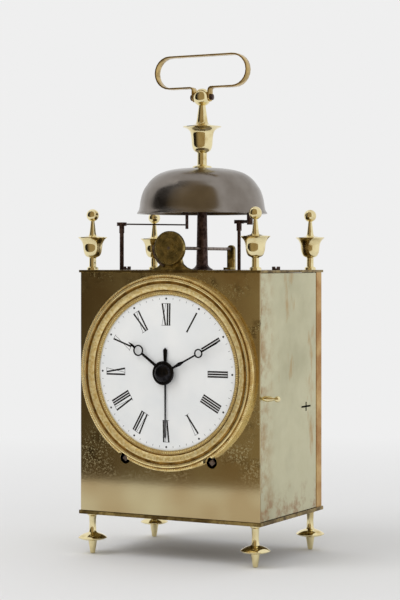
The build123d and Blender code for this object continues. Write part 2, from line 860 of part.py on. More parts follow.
# Alarm hammer, on the other side, with a short stout arm and a round head
alarm_low = inside_high - alarm_foot
alarm_top_z = plate_top + alarm_hammer_top - flange_thick
alarm_upright = hammer_arbor(alarm_hammer_at, alarm_hammer_radius, alarm_low, alarm_top_z, 8.0, 200.0)
with BuildPart() as alarm_hammer_arbor:
    add(alarm_upright)
alarm_hammer_arbor.part.label = "alarm_hammer_arbor"
export_step(alarm_hammer_arbor.part, "parts/alarm_hammer_arbor.step")

alarm_arm_z = alarm_top_z + flange_thick / 2
alarm_turn = degrees(bearing(alarm_hammer_at, alarm_head_at))
alarm_span = hypot(alarm_head_at[0] - alarm_hammer_at[0], alarm_head_at[1] - alarm_hammer_at[1])
alarm_place = Location((alarm_hammer_at[0], case_y + alarm_hammer_at[1], alarm_arm_z), alarm_turn)
alarm_head = turned([(alarm_head_radius, 0), (alarm_head_radius, alarm_head_length)], screw_facets)
with BuildPart() as alarm_hammer:
    with Locations(alarm_place):
        with Locations((flange_radius, 0, 0)):
            Box(alarm_span - flange_radius, alarm_arm, alarm_arm, align=(Align.MIN, Align.CENTER, Align.CENTER))
        with Locations((alarm_span, 0, -alarm_head_drop)):
            add(alarm_head)
alarm_hammer.part.label = "alarm_hammer"
export_step(alarm_hammer.part, "parts/alarm_hammer.step")

# Alarm disc on its long arbor, which runs through the bell stand to the cock at the back
disc_rear = alarm_disc_depth + alarm_disc_thick
arbor_rear = cock_depth + cock_thick + arbor_end
with BuildPart() as alarm_disc:
    with BuildSketch(facing(disc_rear, (0, alarm_z))):
        RegularPolygon(alarm_disc_radius, disc_facets)
        RegularPolygon(alarm_arbor_radius, pin_facets, mode=Mode.SUBTRACT)
    extrude(amount=alarm_disc_thick)
alarm_disc.part.label = "alarm_disc"
export_step(alarm_disc.part, "parts/alarm_disc.step")

with BuildPart() as alarm_arbor:
    with BuildSketch(facing(arbor_rear, (0, alarm_z))):
        RegularPolygon(alarm_arbor_radius, pin_facets)
    extrude(amount=arbor_rear - alarm_disc_depth)
alarm_arbor.part.label = "alarm_arbor"
export_step(alarm_arbor.part, "parts/alarm_arbor.step")

# Cast bracket behind the disc: a round head on a neck that flares to the foot
bracket_front = disc_rear + edge_gap
flare_width = (bracket_base - bracket_neck) / 2
flare = [
    (bracket_neck / 2 + flare_width * (1 - sin(pi * k / 8)), bracket_waist * (1 - cos(pi * k / 8)) - alarm_height)
    for k in range(5)
]
bracket_side = flare + arc((0, 0), bracket_neck / 2, 0, 90, 6)
with BuildPart() as alarm_bracket:
    with BuildSketch(facing(bracket_front + bracket_thick, (0, alarm_z))):
        Polygon(*bracket_side, *[(-x, z) for x, z in bracket_side[-2::-1]])
        bore(alarm_arbor_radius)
    extrude(amount=bracket_thick)
alarm_bracket.part.label = "alarm_bracket"
export_step(alarm_bracket.part, "parts/alarm_bracket.step")

# Curved click spring beside the disc, standing on the bracket's face
spring_inside = arc((0, 0), alarm_disc_radius + click_gap, 172, 246, 6)
spring_outside = arc((0, 0), alarm_disc_radius + click_gap + click_strip, 246, 172, 6)
with BuildPart() as alarm_click_spring:
    with BuildSketch(facing(bracket_front, (0, alarm_z))):
        Polygon(*spring_inside, *spring_outside)
    extrude(amount=click_strip)
alarm_click_spring.part.label = "alarm_click_spring"
export_step(alarm_click_spring.part, "parts/alarm_click_spring.step")

# Rear cock: a small foot on the plate and an upright with a round head
with BuildPart() as alarm_cock:
    with BuildSketch(facing(cock_depth + cock_thick, (0, alarm_z))):
        Rectangle(cock_width, alarm_height, align=(Align.CENTER, Align.MAX))
        RegularPolygon(cock_width / 2, screw_facets)
        bore(alarm_arbor_radius)
    extrude(amount=cock_thick)
    with BuildSketch(Plane.XY.offset(plate_top)):
        with Locations((0, front_y + cock_depth)):
            Rectangle(cock_width, cock_foot, align=(Align.CENTER, Align.MAX))
    extrude(amount=cock_foot_thick)
alarm_cock.part.label = "alarm_cock"
export_step(alarm_cock.part, "parts/alarm_cock.step")

# Two slotted screws in the top plate
plate_screw_places = [(sx * plate_screw_x, case_y + plate_screw_y) for sx in (-1, 1)]
with BuildPart() as top_plate_screws:
    with BuildSketch(Plane.XY.offset(plate_top)):
        with Locations(*plate_screw_places):
            RegularPolygon(plate_screw_radius, screw_facets)
    extrude(amount=plate_screw_head)
    with BuildSketch(Plane.XY.offset(plate_top + plate_screw_head)):
        with Locations(*[Location((x, y, 0), slot_turn) for x, y in plate_screw_places]):
            Rectangle(3 * plate_screw_radius, slot_width)
    extrude(amount=-plate_screw_head / 2, mode=Mode.SUBTRACT)
top_plate_screws.part.label = "top_plate_screws"
export_step(top_plate_screws.part, "parts/top_plate_screws.step")


def clock_hand(back, angle, half_outline, pipe_radius, ring_at=0.0, ring_radius=0.0):
    """A hand pressed on its pipe: a mirrored outline, a boss, and a ring if it has one."""
    outline = half_outline + [(-x, y) for x, y in half_outline[::-1]]
    with BuildPart() as hand:
        with BuildSketch(facing(back, centre_at)) as flat:
            with Locations(Location((0, 0, 0), -angle)):
                Polygon(*outline)
                RegularPolygon(pipe_radius + hand_boss, screw_facets)
                if ring_radius:
                    with Locations((0, ring_at)):
                        RegularPolygon(ring_radius, ring_facets)
                        RegularPolygon(ring_radius - ring_wire, ring_facets, mode=Mode.SUBTRACT)
            RegularPolygon(pipe_radius, pin_facets, mode=Mode.SUBTRACT)
        extrude(flat.sketch, amount=hand_thick)
    return hand.part


# The hands: hour hand with a ring near its tip, minute hand with a small swelling and a ring, and a
# plain alarm hand whose tail widens
hour_half = [(1.5, 0), (0.8, 9.0), (0.6, hour_tip - 2.5), (0, hour_tip)]
hour_flat = clock_hand(
    hour_hand_back, hour_angle, hour_half, hour_pipe_radius, hour_ring_at, hour_ring_radius
)
with BuildPart() as hour_hand:
    add(hour_flat)
hour_hand.part.label = "hour_hand"
export_step(hour_hand.part, "parts/hour_hand.step")

minute_half = [(0.7, 0), (0.7, 9.0), (1.15, 12.0), (0.5, 15.0), (0.45, minute_tip - 2.5), (0, minute_tip)]
minute_flat = clock_hand(
    minute_hand_back, minute_angle, minute_half, cannon_radius, minute_ring_at, minute_ring_radius
)
with BuildPart() as minute_hand:
    add(minute_flat)
minute_hand.part.label = "minute_hand"
export_step(minute_hand.part, "parts/minute_hand.step")

alarm_half = [(0, -alarm_tail - 1.4), (1.3, -alarm_tail), (0.5, 0), (0.3, alarm_tip - 1.0), (0, alarm_tip)]
alarm_flat = clock_hand(alarm_hand_back, alarm_angle, alarm_half, alarm_pipe_radius)
with BuildPart() as alarm_hand:
    add(alarm_flat)
alarm_hand.part.label = "alarm_hand"
export_step(alarm_hand.part, "parts/alarm_hand.step")

# Collet disc and domed nut that hold the minute hand, bored for the end of the centre arbor
arbor_front = nut_back - nut_grip
nut_profile = [
    (centre_radius + run_fit * 2, collet_back - arbor_front + edge_gap),
    (centre_radius + run_fit * 2, 0),
    (collet_radius, 0),
    (collet_radius, collet_thick),
    (nut_radius, collet_thick),
    (nut_radius * 0.83, collet_thick + nut_dome * 0.62),
    (nut_radius * 0.45, collet_thick + nut_dome),
]
nut_turning = turned(nut_profile, disc_facets, facing(collet_back, centre_at))
with BuildPart() as hand_nut:
    add(nut_turning)
hand_nut.part.label = "hand_nut"
export_step(hand_nut.part, "parts/hand_nut.step")


def wheel_on_pipe(wheel, pipe, bore_radius, back, at=centre_at):
    """A wheel outline (points, back, thickness) with a pipe (outline or radius, front), bored through."""
    points, wheel_back, thick = wheel
    pipe_points, pipe_front = pipe
    with BuildPart() as piece:
        with BuildSketch(facing(wheel_back, at)) as disc:
            Polygon(*points)
        extrude(disc.sketch, amount=thick)
        with BuildSketch(facing(back, at)) as tube:
            Polygon(*pipe_points)
        extrude(tube.sketch, amount=back - pipe_front)
        with BuildSketch(facing(back, at)) as hole:
            RegularPolygon(bore_radius + run_fit, pin_facets, major_radius=False)
        extrude(hole.sketch, amount=back - min(pipe_front, wheel_back - thick), mode=Mode.SUBTRACT)
    return piece.part


def pipe_points(radius):
    """Outline of a pipe, facet for facet like the hole of the hand that it carries."""
    return arc((0, 0), radius, 0, 360 - 360 / pin_facets, pin_facets - 1)


# Cannon pinion: the pipe that carries the minute hand, with its leaves at the back
cannon_back = minute_wheel_depth + wheel_thick + leaf_over
cannon_leaves = tooth_points(motion_reach - minute_wheel_radius, cannon_teeth, cannon_turn)
cannon = wheel_on_pipe(
    (cannon_leaves, cannon_back, wheel_thick + 2 * leaf_over),
    (pipe_points(cannon_radius), collet_back),
    centre_radius,
    cannon_back,
)
with BuildPart() as cannon_pinion:
    add(cannon)
cannon_pinion.part.label = "cannon_pinion"
export_step(cannon_pinion.part, "parts/cannon_pinion.step")

# Minute wheel and its pinion, on a stud of the movement's front plate
minute_pinion_front = hour_wheel_depth - leaf_over
minute_back = minute_wheel_depth + wheel_thick
minute_turning = wheel_on_pipe(
    (tooth_points(minute_wheel_radius, minute_teeth, minute_turn), minute_back, wheel_thick),
    (tooth_points(minute_pinion, pinion_leaves, minute_pinion_turn), minute_pinion_front),
    stud_radius,
    minute_back,
    minute_at,
)
with BuildPart() as minute_wheel:
    add(minute_turning)
minute_wheel.part.label = "minute_wheel"
export_step(minute_wheel.part, "parts/minute_wheel.step")

# Hour wheel, whose pipe carries the hour hand
hour_back = hour_wheel_depth + wheel_thick
hour_turning = wheel_on_pipe(
    (tooth_points(hour_wheel_radius, hour_teeth, hour_turn), hour_back, wheel_thick),
    (pipe_points(hour_pipe_radius), hour_hand_back - hand_thick),
    cannon_radius,
    hour_back,
)
with BuildPart() as hour_wheel:
    add(hour_turning)
hour_wheel.part.label = "hour_wheel"
export_step(hour_wheel.part, "parts/hour_wheel.step")

# Alarm cam on the outermost pipe, with the notch that lets the alarm off
cam_back = alarm_cam_depth + wheel_thick
cam_points = arc((0, 0), alarm_cam_radius, 100, 440, 16) + [(0, alarm_cam_radius - 2.0)]
cam_turning = wheel_on_pipe(
    (cam_points, cam_back, wheel_thick),
    (pipe_points(alarm_pipe_radius), alarm_hand_back - hand_thick),
    hour_pipe_radius,
    cam_back,
)
with BuildPart() as alarm_cam:
    add(cam_turning)
alarm_cam.part.label = "alarm_cam"
export_step(alarm_cam.part, "parts/alarm_cam.step")

# The two movement plates, drilled together for the arbors
plate_middle = inside_low + plate_tall / 2
arbor_places = [inter_at, third_at, escape_at, anchor_at, pin_at, fly_at]


def movement_plate(depth):
    """One movement plate, with a running hole for every arbor."""
    with BuildPart() as plate:
        with BuildSketch(facing(depth + plate_thick)) as outline:
            with Locations((0, plate_middle)):
                Rectangle(2 * plate_half_width, plate_tall)
            with Locations(*arbor_places):
                bore(arbor_radius)
            with Locations(centre_at):
                bore(centre_radius)
            with Locations(going_at, striking_at):
                bore(wind_radius)
        extrude(outline.sketch, amount=plate_thick)
    return plate.part


front_blank, back_blank = movement_plate(front_plate), movement_plate(back_plate)
click_pivots = [
    (at[0] + hand * click_pivot[0], at[1] + click_pivot[1])
    for at, hand in ((going_at, 1), (striking_at, -1))
]
with BuildPart() as movement_front_plate:
    add(front_blank)
    with BuildSketch(facing(front_plate, minute_at)):
        RegularPolygon(stud_radius, pin_facets)
    extrude(amount=front_plate - minute_pinion_front + leaf_over)
    with BuildSketch(facing(front_plate)):
        with Locations(*click_pivots):
            RegularPolygon(stud_radius, pin_facets)
    extrude(amount=ratchet_thick + 2 * edge_gap)
movement_front_plate.part.label = "movement_front_plate"
export_step(movement_front_plate.part, "parts/movement_front_plate.step")

with BuildPart() as movement_back_plate:
    add(back_blank)
movement_back_plate.part.label = "movement_back_plate"
export_step(movement_back_plate.part, "parts/movement_back_plate.step")

# Four round pillars between the plates, the lower two drilled for the screws from below
with BuildPart() as movement_pillars:
    with BuildSketch(facing(back_plate)):
        with Locations(*pillar_places):
            RegularPolygon(pillar_radius, screw_facets)
    extrude(amount=plate_gap)
    with BuildSketch(Plane.XY.offset(inside_low)):
        with Locations(*movement_screw_places):
            RegularPolygon(movement_screw_radius, screw_facets)
    extrude(amount=pillar_low[1], mode=Mode.SUBTRACT)
movement_pillars.part.label = "movement_pillars"
export_step(movement_pillars.part, "parts/movement_pillars.step")

# The two screws that hold the movement down, their heads under the bottom plate
screw_profile = [
    (movement_head_radius, floor_to_bottom - movement_head),
    (movement_head_radius, floor_to_bottom),
    (movement_screw_radius, floor_to_bottom),
    (movement_screw_radius, inside_low + pillar_low[1]),
]
movement_screw = turned(screw_profile, screw_facets)
with BuildPart() as movement_screws:
    with Locations(*movement_screw_places):
        add(movement_screw)
movement_screws.part.label = "movement_screws"
export_step(movement_screws.part, "parts/movement_screws.step")

# Going barrel and strike barrel, each a drum fixed to its great wheel
drum_points = arc((0, 0), drum_radius, 0, 360 - 360 / disc_facets, disc_facets - 1)
great_points = tooth_points(great_radius, great_teeth, 0.0)
for label, at in (("going_barrel", going_at), ("strike_barrel", striking_at)):
    barrel_turning = wheel_on_pipe(
        (great_points, great_depth + wheel_thick, wheel_thick),
        (drum_points, drum_front),
        wind_radius,
        great_depth + wheel_thick,
        at,
    )
    with BuildPart() as barrel:
        add(barrel_turning)
    barrel.part.label = label
    export_step(barrel.part, f"parts/{label}.step")

# Winding arbors: a square for the key, a ratchet wheel in front of the plate, and the round arbor.
# The clicks stand beside them on the plate, their noses just clear of the teeth.
ratchet_depth = front_plate - edge_gap
wind_back = back_plate_rear + arbor_end
ratchet_step = 2 * pi / ratchet_teeth
ratchet_half = [
    (polar(ratchet_radius, i * ratchet_step), polar(ratchet_radius - ratchet_cut, i * ratchet_step + 0.12))
    for i in range(ratchet_teeth)
]
ratchet_outline = [point for pair in ratchet_half for point in pair]
click_nose = polar(ratchet_radius + edge_gap, radians(58))
click_outline = [
    click_nose,
    (click_nose[0] + 1.6, click_nose[1] + 1.6),
    (click_pivot[0] + 2.2, click_pivot[1] + 1.0),
    (click_pivot[0] - 0.8, click_pivot[1] + 2.4),
    (click_pivot[0] - 2.4, click_pivot[1] - 0.8),
]
for train, at, hand in (("going", going_at, 1), ("strike", striking_at, -1)):
    with BuildPart() as winding_arbor:
        with BuildSketch(facing(ratchet_depth, at)):
            Rectangle(wind_square, wind_square, rotation=40 * hand)
        extrude(amount=ratchet_depth - wind_inset)
        with BuildSketch(facing(ratchet_depth, at)):
            Polygon(*[(hand * x, z) for x, z in ratchet_outline])
        extrude(amount=ratchet_thick)
        with BuildSketch(facing(wind_back, at)):
            RegularPolygon(wind_radius, pin_facets)
        extrude(amount=wind_back - ratchet_depth)
    winding_arbor.part.label = f"{train}_winding_arbor"
    export_step(winding_arbor.part, f"parts/{train}_winding_arbor.step")
    with BuildPart() as click:
        with BuildSketch(facing(front_plate - run_fit, at)):
            Polygon(*[(hand * x, z) for x, z in click_outline])
            with Locations((hand * click_pivot[0], click_pivot[1])):
                bore(stud_radius)
        extrude(amount=ratchet_thick)
    click.part.label = f"{train}_click"
    export_step(click.part, f"parts/{train}_click.step")


def train_arbor(at, wheel, pinion, wheel_outline=None, windows=4):
    """An arbor with a crossed-out wheel and a pinion, each given as (pitch radius, teeth, turn, depth)."""
    wheel_radius, teeth, turn, wheel_at = wheel
    pinion_radius, leaves, pinion_turn, pinion_at = pinion
    rim = wheel_radius * (1 - wheel_rim * 2 * pi / teeth)
    with BuildPart() as arbor:
        with BuildSketch(facing(wheel_at + wheel_thick, at)) as disc:
            Polygon(*(wheel_outline or tooth_points(wheel_radius, teeth, turn)))
            if windows:
                with PolarLocations(0, windows):
                    Polygon(*crossing(pinion_radius + wheel_boss, rim, spoke_width), mode=Mode.SUBTRACT)
        extrude(disc.sketch, amount=wheel_thick)
        with BuildSketch(facing(pinion_at + wheel_thick + leaf_over, at)) as leaf_disc:
            Polygon(*tooth_points(pinion_radius, leaves, pinion_turn))
        extrude(leaf_disc.sketch, amount=wheel_thick + 2 * leaf_over)
        with BuildSketch(facing(back_plate + pivot_reach, at)) as bar:
            RegularPolygon(arbor_radius, pin_facets)
        extrude(bar.sketch, amount=plate_gap + 2 * pivot_reach)
    return arbor.part


# Going train: intermediate wheel, centre wheel and third wheel
inter_turning = train_arbor(
    inter_at,
    (great_radius, great_teeth, inter_turn, inter_depth),
    (great_pinion, pinion_leaves, inter_pinion_turn, great_depth),
)
with BuildPart() as intermediate_wheel:
    add(inter_turning)
intermediate_wheel.part.label = "intermediate_wheel"
export_step(intermediate_wheel.part, "parts/intermediate_wheel.step")

centre_turning = train_arbor(
    centre_at,
    (centre_wheel_radius, centre_teeth, centre_turn, centre_depth),
    (great_pinion, pinion_leaves, centre_pinion_turn, inter_depth),
)
with BuildPart() as centre_wheel:
    add(centre_turning)
    with BuildSketch(facing(back_plate + pivot_reach, centre_at)):
        RegularPolygon(centre_radius, pin_facets)
    extrude(amount=back_plate + pivot_reach - arbor_front)
centre_wheel.part.label = "centre_wheel"
export_step(centre_wheel.part, "parts/centre_wheel.step")

third_turning = train_arbor(
    third_at,
    (third_radius, third_teeth, third_turn, third_depth),
    (third_pinion, pinion_leaves, third_pinion_turn, centre_depth),
)
with BuildPart() as third_wheel:
    add(third_turning)
third_wheel.part.label = "third_wheel"
export_step(third_wheel.part, "parts/third_wheel.step")

# Escape wheel: pointed teeth, each with a steep leading face and a long back
escape_step = 2 * pi / escape_teeth
escape_pairs = [
    (polar(escape_radius, i * escape_step), polar(escape_radius - escape_cut, (i + 0.8) * escape_step))
    for i in range(escape_teeth)
]
escape_turning = train_arbor(
    escape_at,
    (escape_radius, escape_teeth, 0.0, escape_depth),
    (escape_pinion, pinion_leaves, escape_pinion_turn, third_depth),
    wheel_outline=[point for pair in escape_pairs for point in pair],
)
with BuildPart() as escape_wheel:
    add(escape_turning)
escape_wheel.part.label = "escape_wheel"
export_step(escape_wheel.part, "parts/escape_wheel.step")

# Anchor over the escape wheel, with its arbor through the back plate and the crutch behind
anchor_lift = escape_at[1] - anchor_at[1]
anchor_inside = arc((0, anchor_lift), escape_radius + anchor_clearance, 48, 132, 8)
anchor_outside = arc((0, anchor_lift), escape_radius + anchor_clearance + anchor_wall, 132, 48, 8)
crutch_depth = pendulum_depth - crutch_gap
fork_x = rod_radius + fork_gap + crutch_strip / 2
with BuildPart() as anchor:
    with BuildSketch(facing(escape_depth + wheel_thick + leaf_over, anchor_at)):
        Polygon(*anchor_inside, *anchor_outside)
        RegularPolygon(2 * arbor_radius, screw_facets)
    extrude(amount=wheel_thick + 2 * leaf_over)
    with BuildSketch(facing(crutch_depth, anchor_at)):
        RegularPolygon(arbor_radius, pin_facets)
    extrude(amount=crutch_depth - plate_inside + pivot_reach)
    with BuildSketch(facing(crutch_depth + crutch_strip, anchor_at)):
        RegularPolygon(2 * arbor_radius, screw_facets)
        Rectangle(crutch_strip, crutch_length, align=(Align.CENTER, Align.MAX))
        with Locations((0, -crutch_length)):
            Rectangle(2 * fork_x + crutch_strip, crutch_strip)
    extrude(amount=crutch_strip)
    with BuildSketch(facing(pendulum_depth + crutch_gap, anchor_at)):
        with Locations((-fork_x, -crutch_length), (fork_x, -crutch_length)):
            Rectangle(crutch_strip, crutch_strip)
    extrude(amount=2 * crutch_gap)
anchor.part.label = "anchor"
export_step(anchor.part, "parts/anchor.step")

# Pendulum: a thin suspension spring, a wire rod and a lens-shaped bob
spring_top = anchor_at[1] + cock_lift - edge_gap
rod_top = anchor_at[1] - spring_length
bob_z = anchor_at[1] - pendulum_drop
bob_profile = [(bob_radius / 2, -bob_thick / 2), (bob_radius, 0), (bob_radius / 2, bob_thick / 2)]
bob = turned(bob_profile, disc_facets, facing(pendulum_depth, (0, bob_z)))
with BuildPart() as pendulum:
    with BuildSketch(Plane.XY.offset(rod_top)):
        with Locations((0, front_y + pendulum_depth)):
            Rectangle(spring_thick, 3 * rod_radius)
    extrude(amount=spring_top - rod_top)
    with BuildSketch(Plane.XY.offset(bob_z - bob_radius - rod_end)):
        with Locations((0, front_y + pendulum_depth)):
            RegularPolygon(rod_radius, pin_facets)
    extrude(amount=rod_top - bob_z + bob_radius + rod_end)
    add(bob)
pendulum.part.label = "pendulum"
export_step(pendulum.part, "parts/pendulum.step")

# Pendulum cock: a foot on the back plate above the anchor and an arm over the pendulum
cock_reach = pendulum_depth + rod_radius * 3 - back_plate_rear
with BuildPart() as pendulum_cock:
    with BuildSketch(Plane.XY.offset(anchor_at[1] + cock_lift)):
        with Locations((0, front_y + back_plate_rear)):
            Rectangle(8.0, cock_reach, align=(Align.CENTER, Align.MIN))
            Rectangle(20.0, cock_foot_thick, align=(Align.CENTER, Align.MIN))
    extrude(amount=cock_arm)
pendulum_cock.part.label = "pendulum_cock"
export_step(pendulum_cock.part, "parts/pendulum_cock.step")

# Strike train: the pin wheel that lifts the hammer tail, and the fly that slows it
pin_turning = train_arbor(
    pin_at,
    (pin_wheel_radius, pin_teeth, pin_turn, pin_depth),
    (great_pinion, pinion_leaves, pin_pinion_turn, great_depth),
    windows=0,
)
with BuildPart() as pin_wheel:
    add(pin_turning)
    with BuildSketch(facing(pin_depth + wheel_thick + pin_length_back, pin_at)):
        with PolarLocations(pin_ring, pin_count):
            Rectangle(lift_pin, lift_pin)
    extrude(amount=pin_length_back)
pin_wheel.part.label = "pin_wheel"
export_step(pin_wheel.part, "parts/pin_wheel.step")

with BuildPart() as fly:
    with BuildSketch(facing(pin_depth + wheel_thick + leaf_over, fly_at)):
        Polygon(*tooth_points(fly_pinion, pinion_leaves, fly_turn))
    extrude(amount=wheel_thick + 2 * leaf_over)
    with BuildSketch(facing(back_plate + pivot_reach, fly_at)):
        RegularPolygon(arbor_radius, pin_facets)
    extrude(amount=plate_gap + 2 * pivot_reach)
    with BuildSketch(facing(drum_front + fly_length, fly_at)):
        Rectangle(fly_width, fly_sheet, rotation=30)
    extrude(amount=fly_length)
fly.part.label = "fly"
export_step(fly.part, "parts/fly.step")

# Cocks inside the case that hold the lower ends of the two hammer arbors
strike_depth = case_depth / 2 + strike_at[1]
alarm_depth = case_depth / 2 + alarm_hammer_at[1]
with BuildPart() as hammer_cocks:
    for at, radius, low, plate_face, reach in (
        (strike_at, strike_radius, strike_low, plate_inside, strike_depth + hammer_cock_end),
        (alarm_hammer_at, alarm_hammer_radius, alarm_low, back_plate, alarm_depth - hammer_cock_end),
    ):
        with BuildSketch(Plane.XY.offset(low + hammer_cock_lift)):
            with Locations((at[0], front_y + (plate_face + reach) / 2)):
                Rectangle(hammer_cock_width, abs(reach - plate_face))
            with Locations((at[0], case_y + at[1])):
                bore(radius)
        extrude(amount=hammer_cock_thick)
hammer_cocks.part.label = "hammer_cocks"
export_step(hammer_cocks.part, "parts/hammer_cocks.step")
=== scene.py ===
# %% [markdown]
# # A travelling clock of the capucine kind
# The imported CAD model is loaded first. It gives every piece its place, so nothing has to be fitted by eye.
# All sizes below are written in millimetres and multiplied by MM, because Blender works in metres.

# %% Load the frame
import json
from math import cos, hypot, pi, radians, sin, atan2

import bmesh
import bpy
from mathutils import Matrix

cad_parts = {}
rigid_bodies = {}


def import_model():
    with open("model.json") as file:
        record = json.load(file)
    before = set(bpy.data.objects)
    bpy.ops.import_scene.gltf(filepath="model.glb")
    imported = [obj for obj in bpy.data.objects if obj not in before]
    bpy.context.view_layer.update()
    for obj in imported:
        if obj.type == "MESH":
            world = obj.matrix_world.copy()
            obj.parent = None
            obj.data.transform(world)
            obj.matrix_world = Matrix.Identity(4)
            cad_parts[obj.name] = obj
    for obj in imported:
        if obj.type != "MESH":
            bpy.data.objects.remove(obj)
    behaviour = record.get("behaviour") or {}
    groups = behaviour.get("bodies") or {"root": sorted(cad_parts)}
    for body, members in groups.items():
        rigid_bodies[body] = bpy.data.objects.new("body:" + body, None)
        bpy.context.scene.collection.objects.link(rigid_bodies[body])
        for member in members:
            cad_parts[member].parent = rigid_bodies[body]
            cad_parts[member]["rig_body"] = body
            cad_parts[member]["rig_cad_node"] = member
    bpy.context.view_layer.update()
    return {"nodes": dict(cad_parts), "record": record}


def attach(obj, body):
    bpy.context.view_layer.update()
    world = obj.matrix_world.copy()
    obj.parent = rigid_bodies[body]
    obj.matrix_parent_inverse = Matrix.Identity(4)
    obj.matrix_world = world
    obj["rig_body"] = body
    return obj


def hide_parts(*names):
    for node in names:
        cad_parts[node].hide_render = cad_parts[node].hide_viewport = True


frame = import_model()
MM = 0.001
nodes = frame["nodes"]
print("loaded", len(nodes), "nodes")

# %% [markdown]
# The photograph was taken from the height of the bell, a little to the right of the dial, with a long lens.
# A level camera keeps the clock's upright edges parallel, and a small vertical shift frames it.

# %% Camera
CAMERA_AT = (526.8, -983.7, 177.5)
CAMERA_TURN = 28.204
bpy.ops.object.camera_add(
    location=[v * MM for v in CAMERA_AT], rotation=(radians(90), 0, radians(CAMERA_TURN))
)
camera = bpy.context.object
camera.data.lens = 108.57
camera.data.sensor_width = 36
camera.data.shift_x = -0.0036
camera.data.shift_y = -0.0616
camera.data.clip_start = 0.05
bpy.context.scene.camera = camera
bpy.context.scene.view_settings.view_transform = "Standard"

# %% [markdown]
# A material is a tree of nodes. One helper adds a node with its settings and its links, and one turns the
# sRGB hex value that a colour picker gives into the linear numbers that the shader wants.

# %% Helpers for materials


def linear(hex_value):
    """The linear colour of an sRGB hex value."""
    parts = [int(hex_value[k : k + 2], 16) / 255 for k in (1, 3, 5)]
    return [p / 12.92 if p <= 0.04045 else ((p + 0.055) / 1.055) ** 2.4 for p in parts] + [1.0]


def add_node(tree, kind, settings=(), links=()):
    """Adds a node, sets its inputs or its options by name, and links its inputs to other sockets."""
    node = tree.nodes.new(kind)
    for name, value in dict(settings).items():
        if name in node.inputs:
            node.inputs[name].default_value = value
        else:
            setattr(node, name, value)
    for name, source in dict(links).items():
        tree.links.new(source, node.inputs[name])
    return node


def new_material(name):
    """A material with its tree, its shader and the object coordinates that its patterns read."""
    material = bpy.data.materials.new(name)
    material.use_nodes = True
    tree = material.node_tree
    shader = tree.nodes["Principled BSDF"]
    place = add_node(tree, "ShaderNodeTexCoord").outputs["Object"]
    return material, tree, shader, place


def grain(tree, place, size_mm, detail=4.0, rough=0.55):
    """Noise whose blotches are about this many millimetres across."""
    settings = {"Scale": 1 / (size_mm * MM), "Detail": detail, "Roughness": rough}
    return add_node(tree, "ShaderNodeTexNoise", settings, {"Vector": place}).outputs["Fac"]


def spread(tree, source, low, high, to_low=0.0, to_high=1.0):
    """Stretches the part of a pattern between low and high over another range."""
    settings = {"From Min": low, "From Max": high, "To Min": to_low, "To Max": to_high}
    return add_node(tree, "ShaderNodeMapRange", settings, {"Value": source}).outputs["Result"]


def blended(tree, share, first, second):
    """A colour between two others, each a hex value or a socket."""
    node = add_node(tree, "ShaderNodeMix", {"data_type": "RGBA"})
    tree.links.new(share, node.inputs[0])
    for socket, colour in ((node.inputs[6], first), (node.inputs[7], second)):
        if isinstance(colour, str):
            socket.default_value = linear(colour)
        else:
            tree.links.new(colour, socket)
    return node.outputs[2]


def both(tree, first, second):
    """The product of two patterns."""
    node = add_node(tree, "ShaderNodeMath", {"operation": "MULTIPLY"})
    tree.links.new(first, node.inputs[0])
    tree.links.new(second, node.inputs[1])
    return node.outputs[0]


def raised(tree, height, depth_mm, strength=1.0, below=None):
    """A bump whose full height is this deep."""
    links = {"Height": height}
    if below is not None:
        links["Normal"] = below
    settings = {"Distance": depth_mm * MM, "Strength": strength}
    return add_node(tree, "ShaderNodeBump", settings, links).outputs["Normal"]


# %% [markdown]
# ## Metal finishes
# The whole clock is brass, iron and steel. What tells them apart is colour, tarnish and how smooth each was
# left: the turned parts were burnished in the lathe, the sheets were scraped flat and polished, then went
# dull in blotches. One recipe serves them all: two colours mixed by coarse noise, roughness that follows the
# same noise, and a fine bump for the tool marks.

# %% One recipe for the metals


def metal(name, clean, tarnished, blotch, share, smooth, dull, mark=0.6, depth=0.01, metallic=1.0):
    """A metal with blotches of tarnish (mm), a range of roughness, and tool marks (size and depth in mm)."""
    material, tree, shader, place = new_material(name)
    blotches = spread(tree, grain(tree, place, blotch), share - 0.12, share + 0.12)
    tree.links.new(blended(tree, blotches, clean, tarnished), shader.inputs["Base Color"])
    tree.links.new(spread(tree, blotches, 0, 1, smooth, dull), shader.inputs["Roughness"])
    marks = grain(tree, place, mark, detail=2.0)
    tree.links.new(raised(tree, marks, depth), shader.inputs["Normal"])
    shader.inputs["Metallic"].default_value = metallic
    return material


# Burnished brass from the lathe: pale gold, almost a mirror, so it shows the room in thin dark bands.
turned_brass = metal("burnished_turned_brass", "#f0e2b2", "#cbb277", 9.0, 0.62, 0.10, 0.24, 1.5, 0.004)
# Rolled brass strip, a little duller on its edges.
strip_brass = metal("rolled_brass_strip", "#c9ad72", "#8d7440", 6.0, 0.55, 0.16, 0.34, 1.2, 0.006)
# Edges of thick plate, brown where they were never polished.
plate_brass = metal("brown_plate_brass", "#96814f", "#5d4b2a", 7.0, 0.5, 0.22, 0.42, 1.0, 0.01)
# The posts at the back kept their reddish lacquer.
post_brass = metal("red_lacquered_brass", "#c7a468", "#ad7e45", 14.0, 0.5, 0.28, 0.42, 1.0, 0.008)
# Brass inside the movement, cleaner because dust and fingers did not reach it.
train_brass = metal("sawn_movement_brass", "#cdb06b", "#a4854a", 8.0, 0.6, 0.22, 0.36, 0.8, 0.006)
# Filed iron with rust in its pores: brown-red, rough, hardly shiny.
rusty_iron = metal("rust_brown_iron", "#5d4a44", "#3a2722", 1.8, 0.5, 0.34, 0.6, 0.5, 0.03, 0.8)
# Steel of the arbors and pinions.
filed_steel = metal("filed_steel", "#8d8078", "#5b4c46", 3.0, 0.55, 0.28, 0.45, 0.5, 0.008)
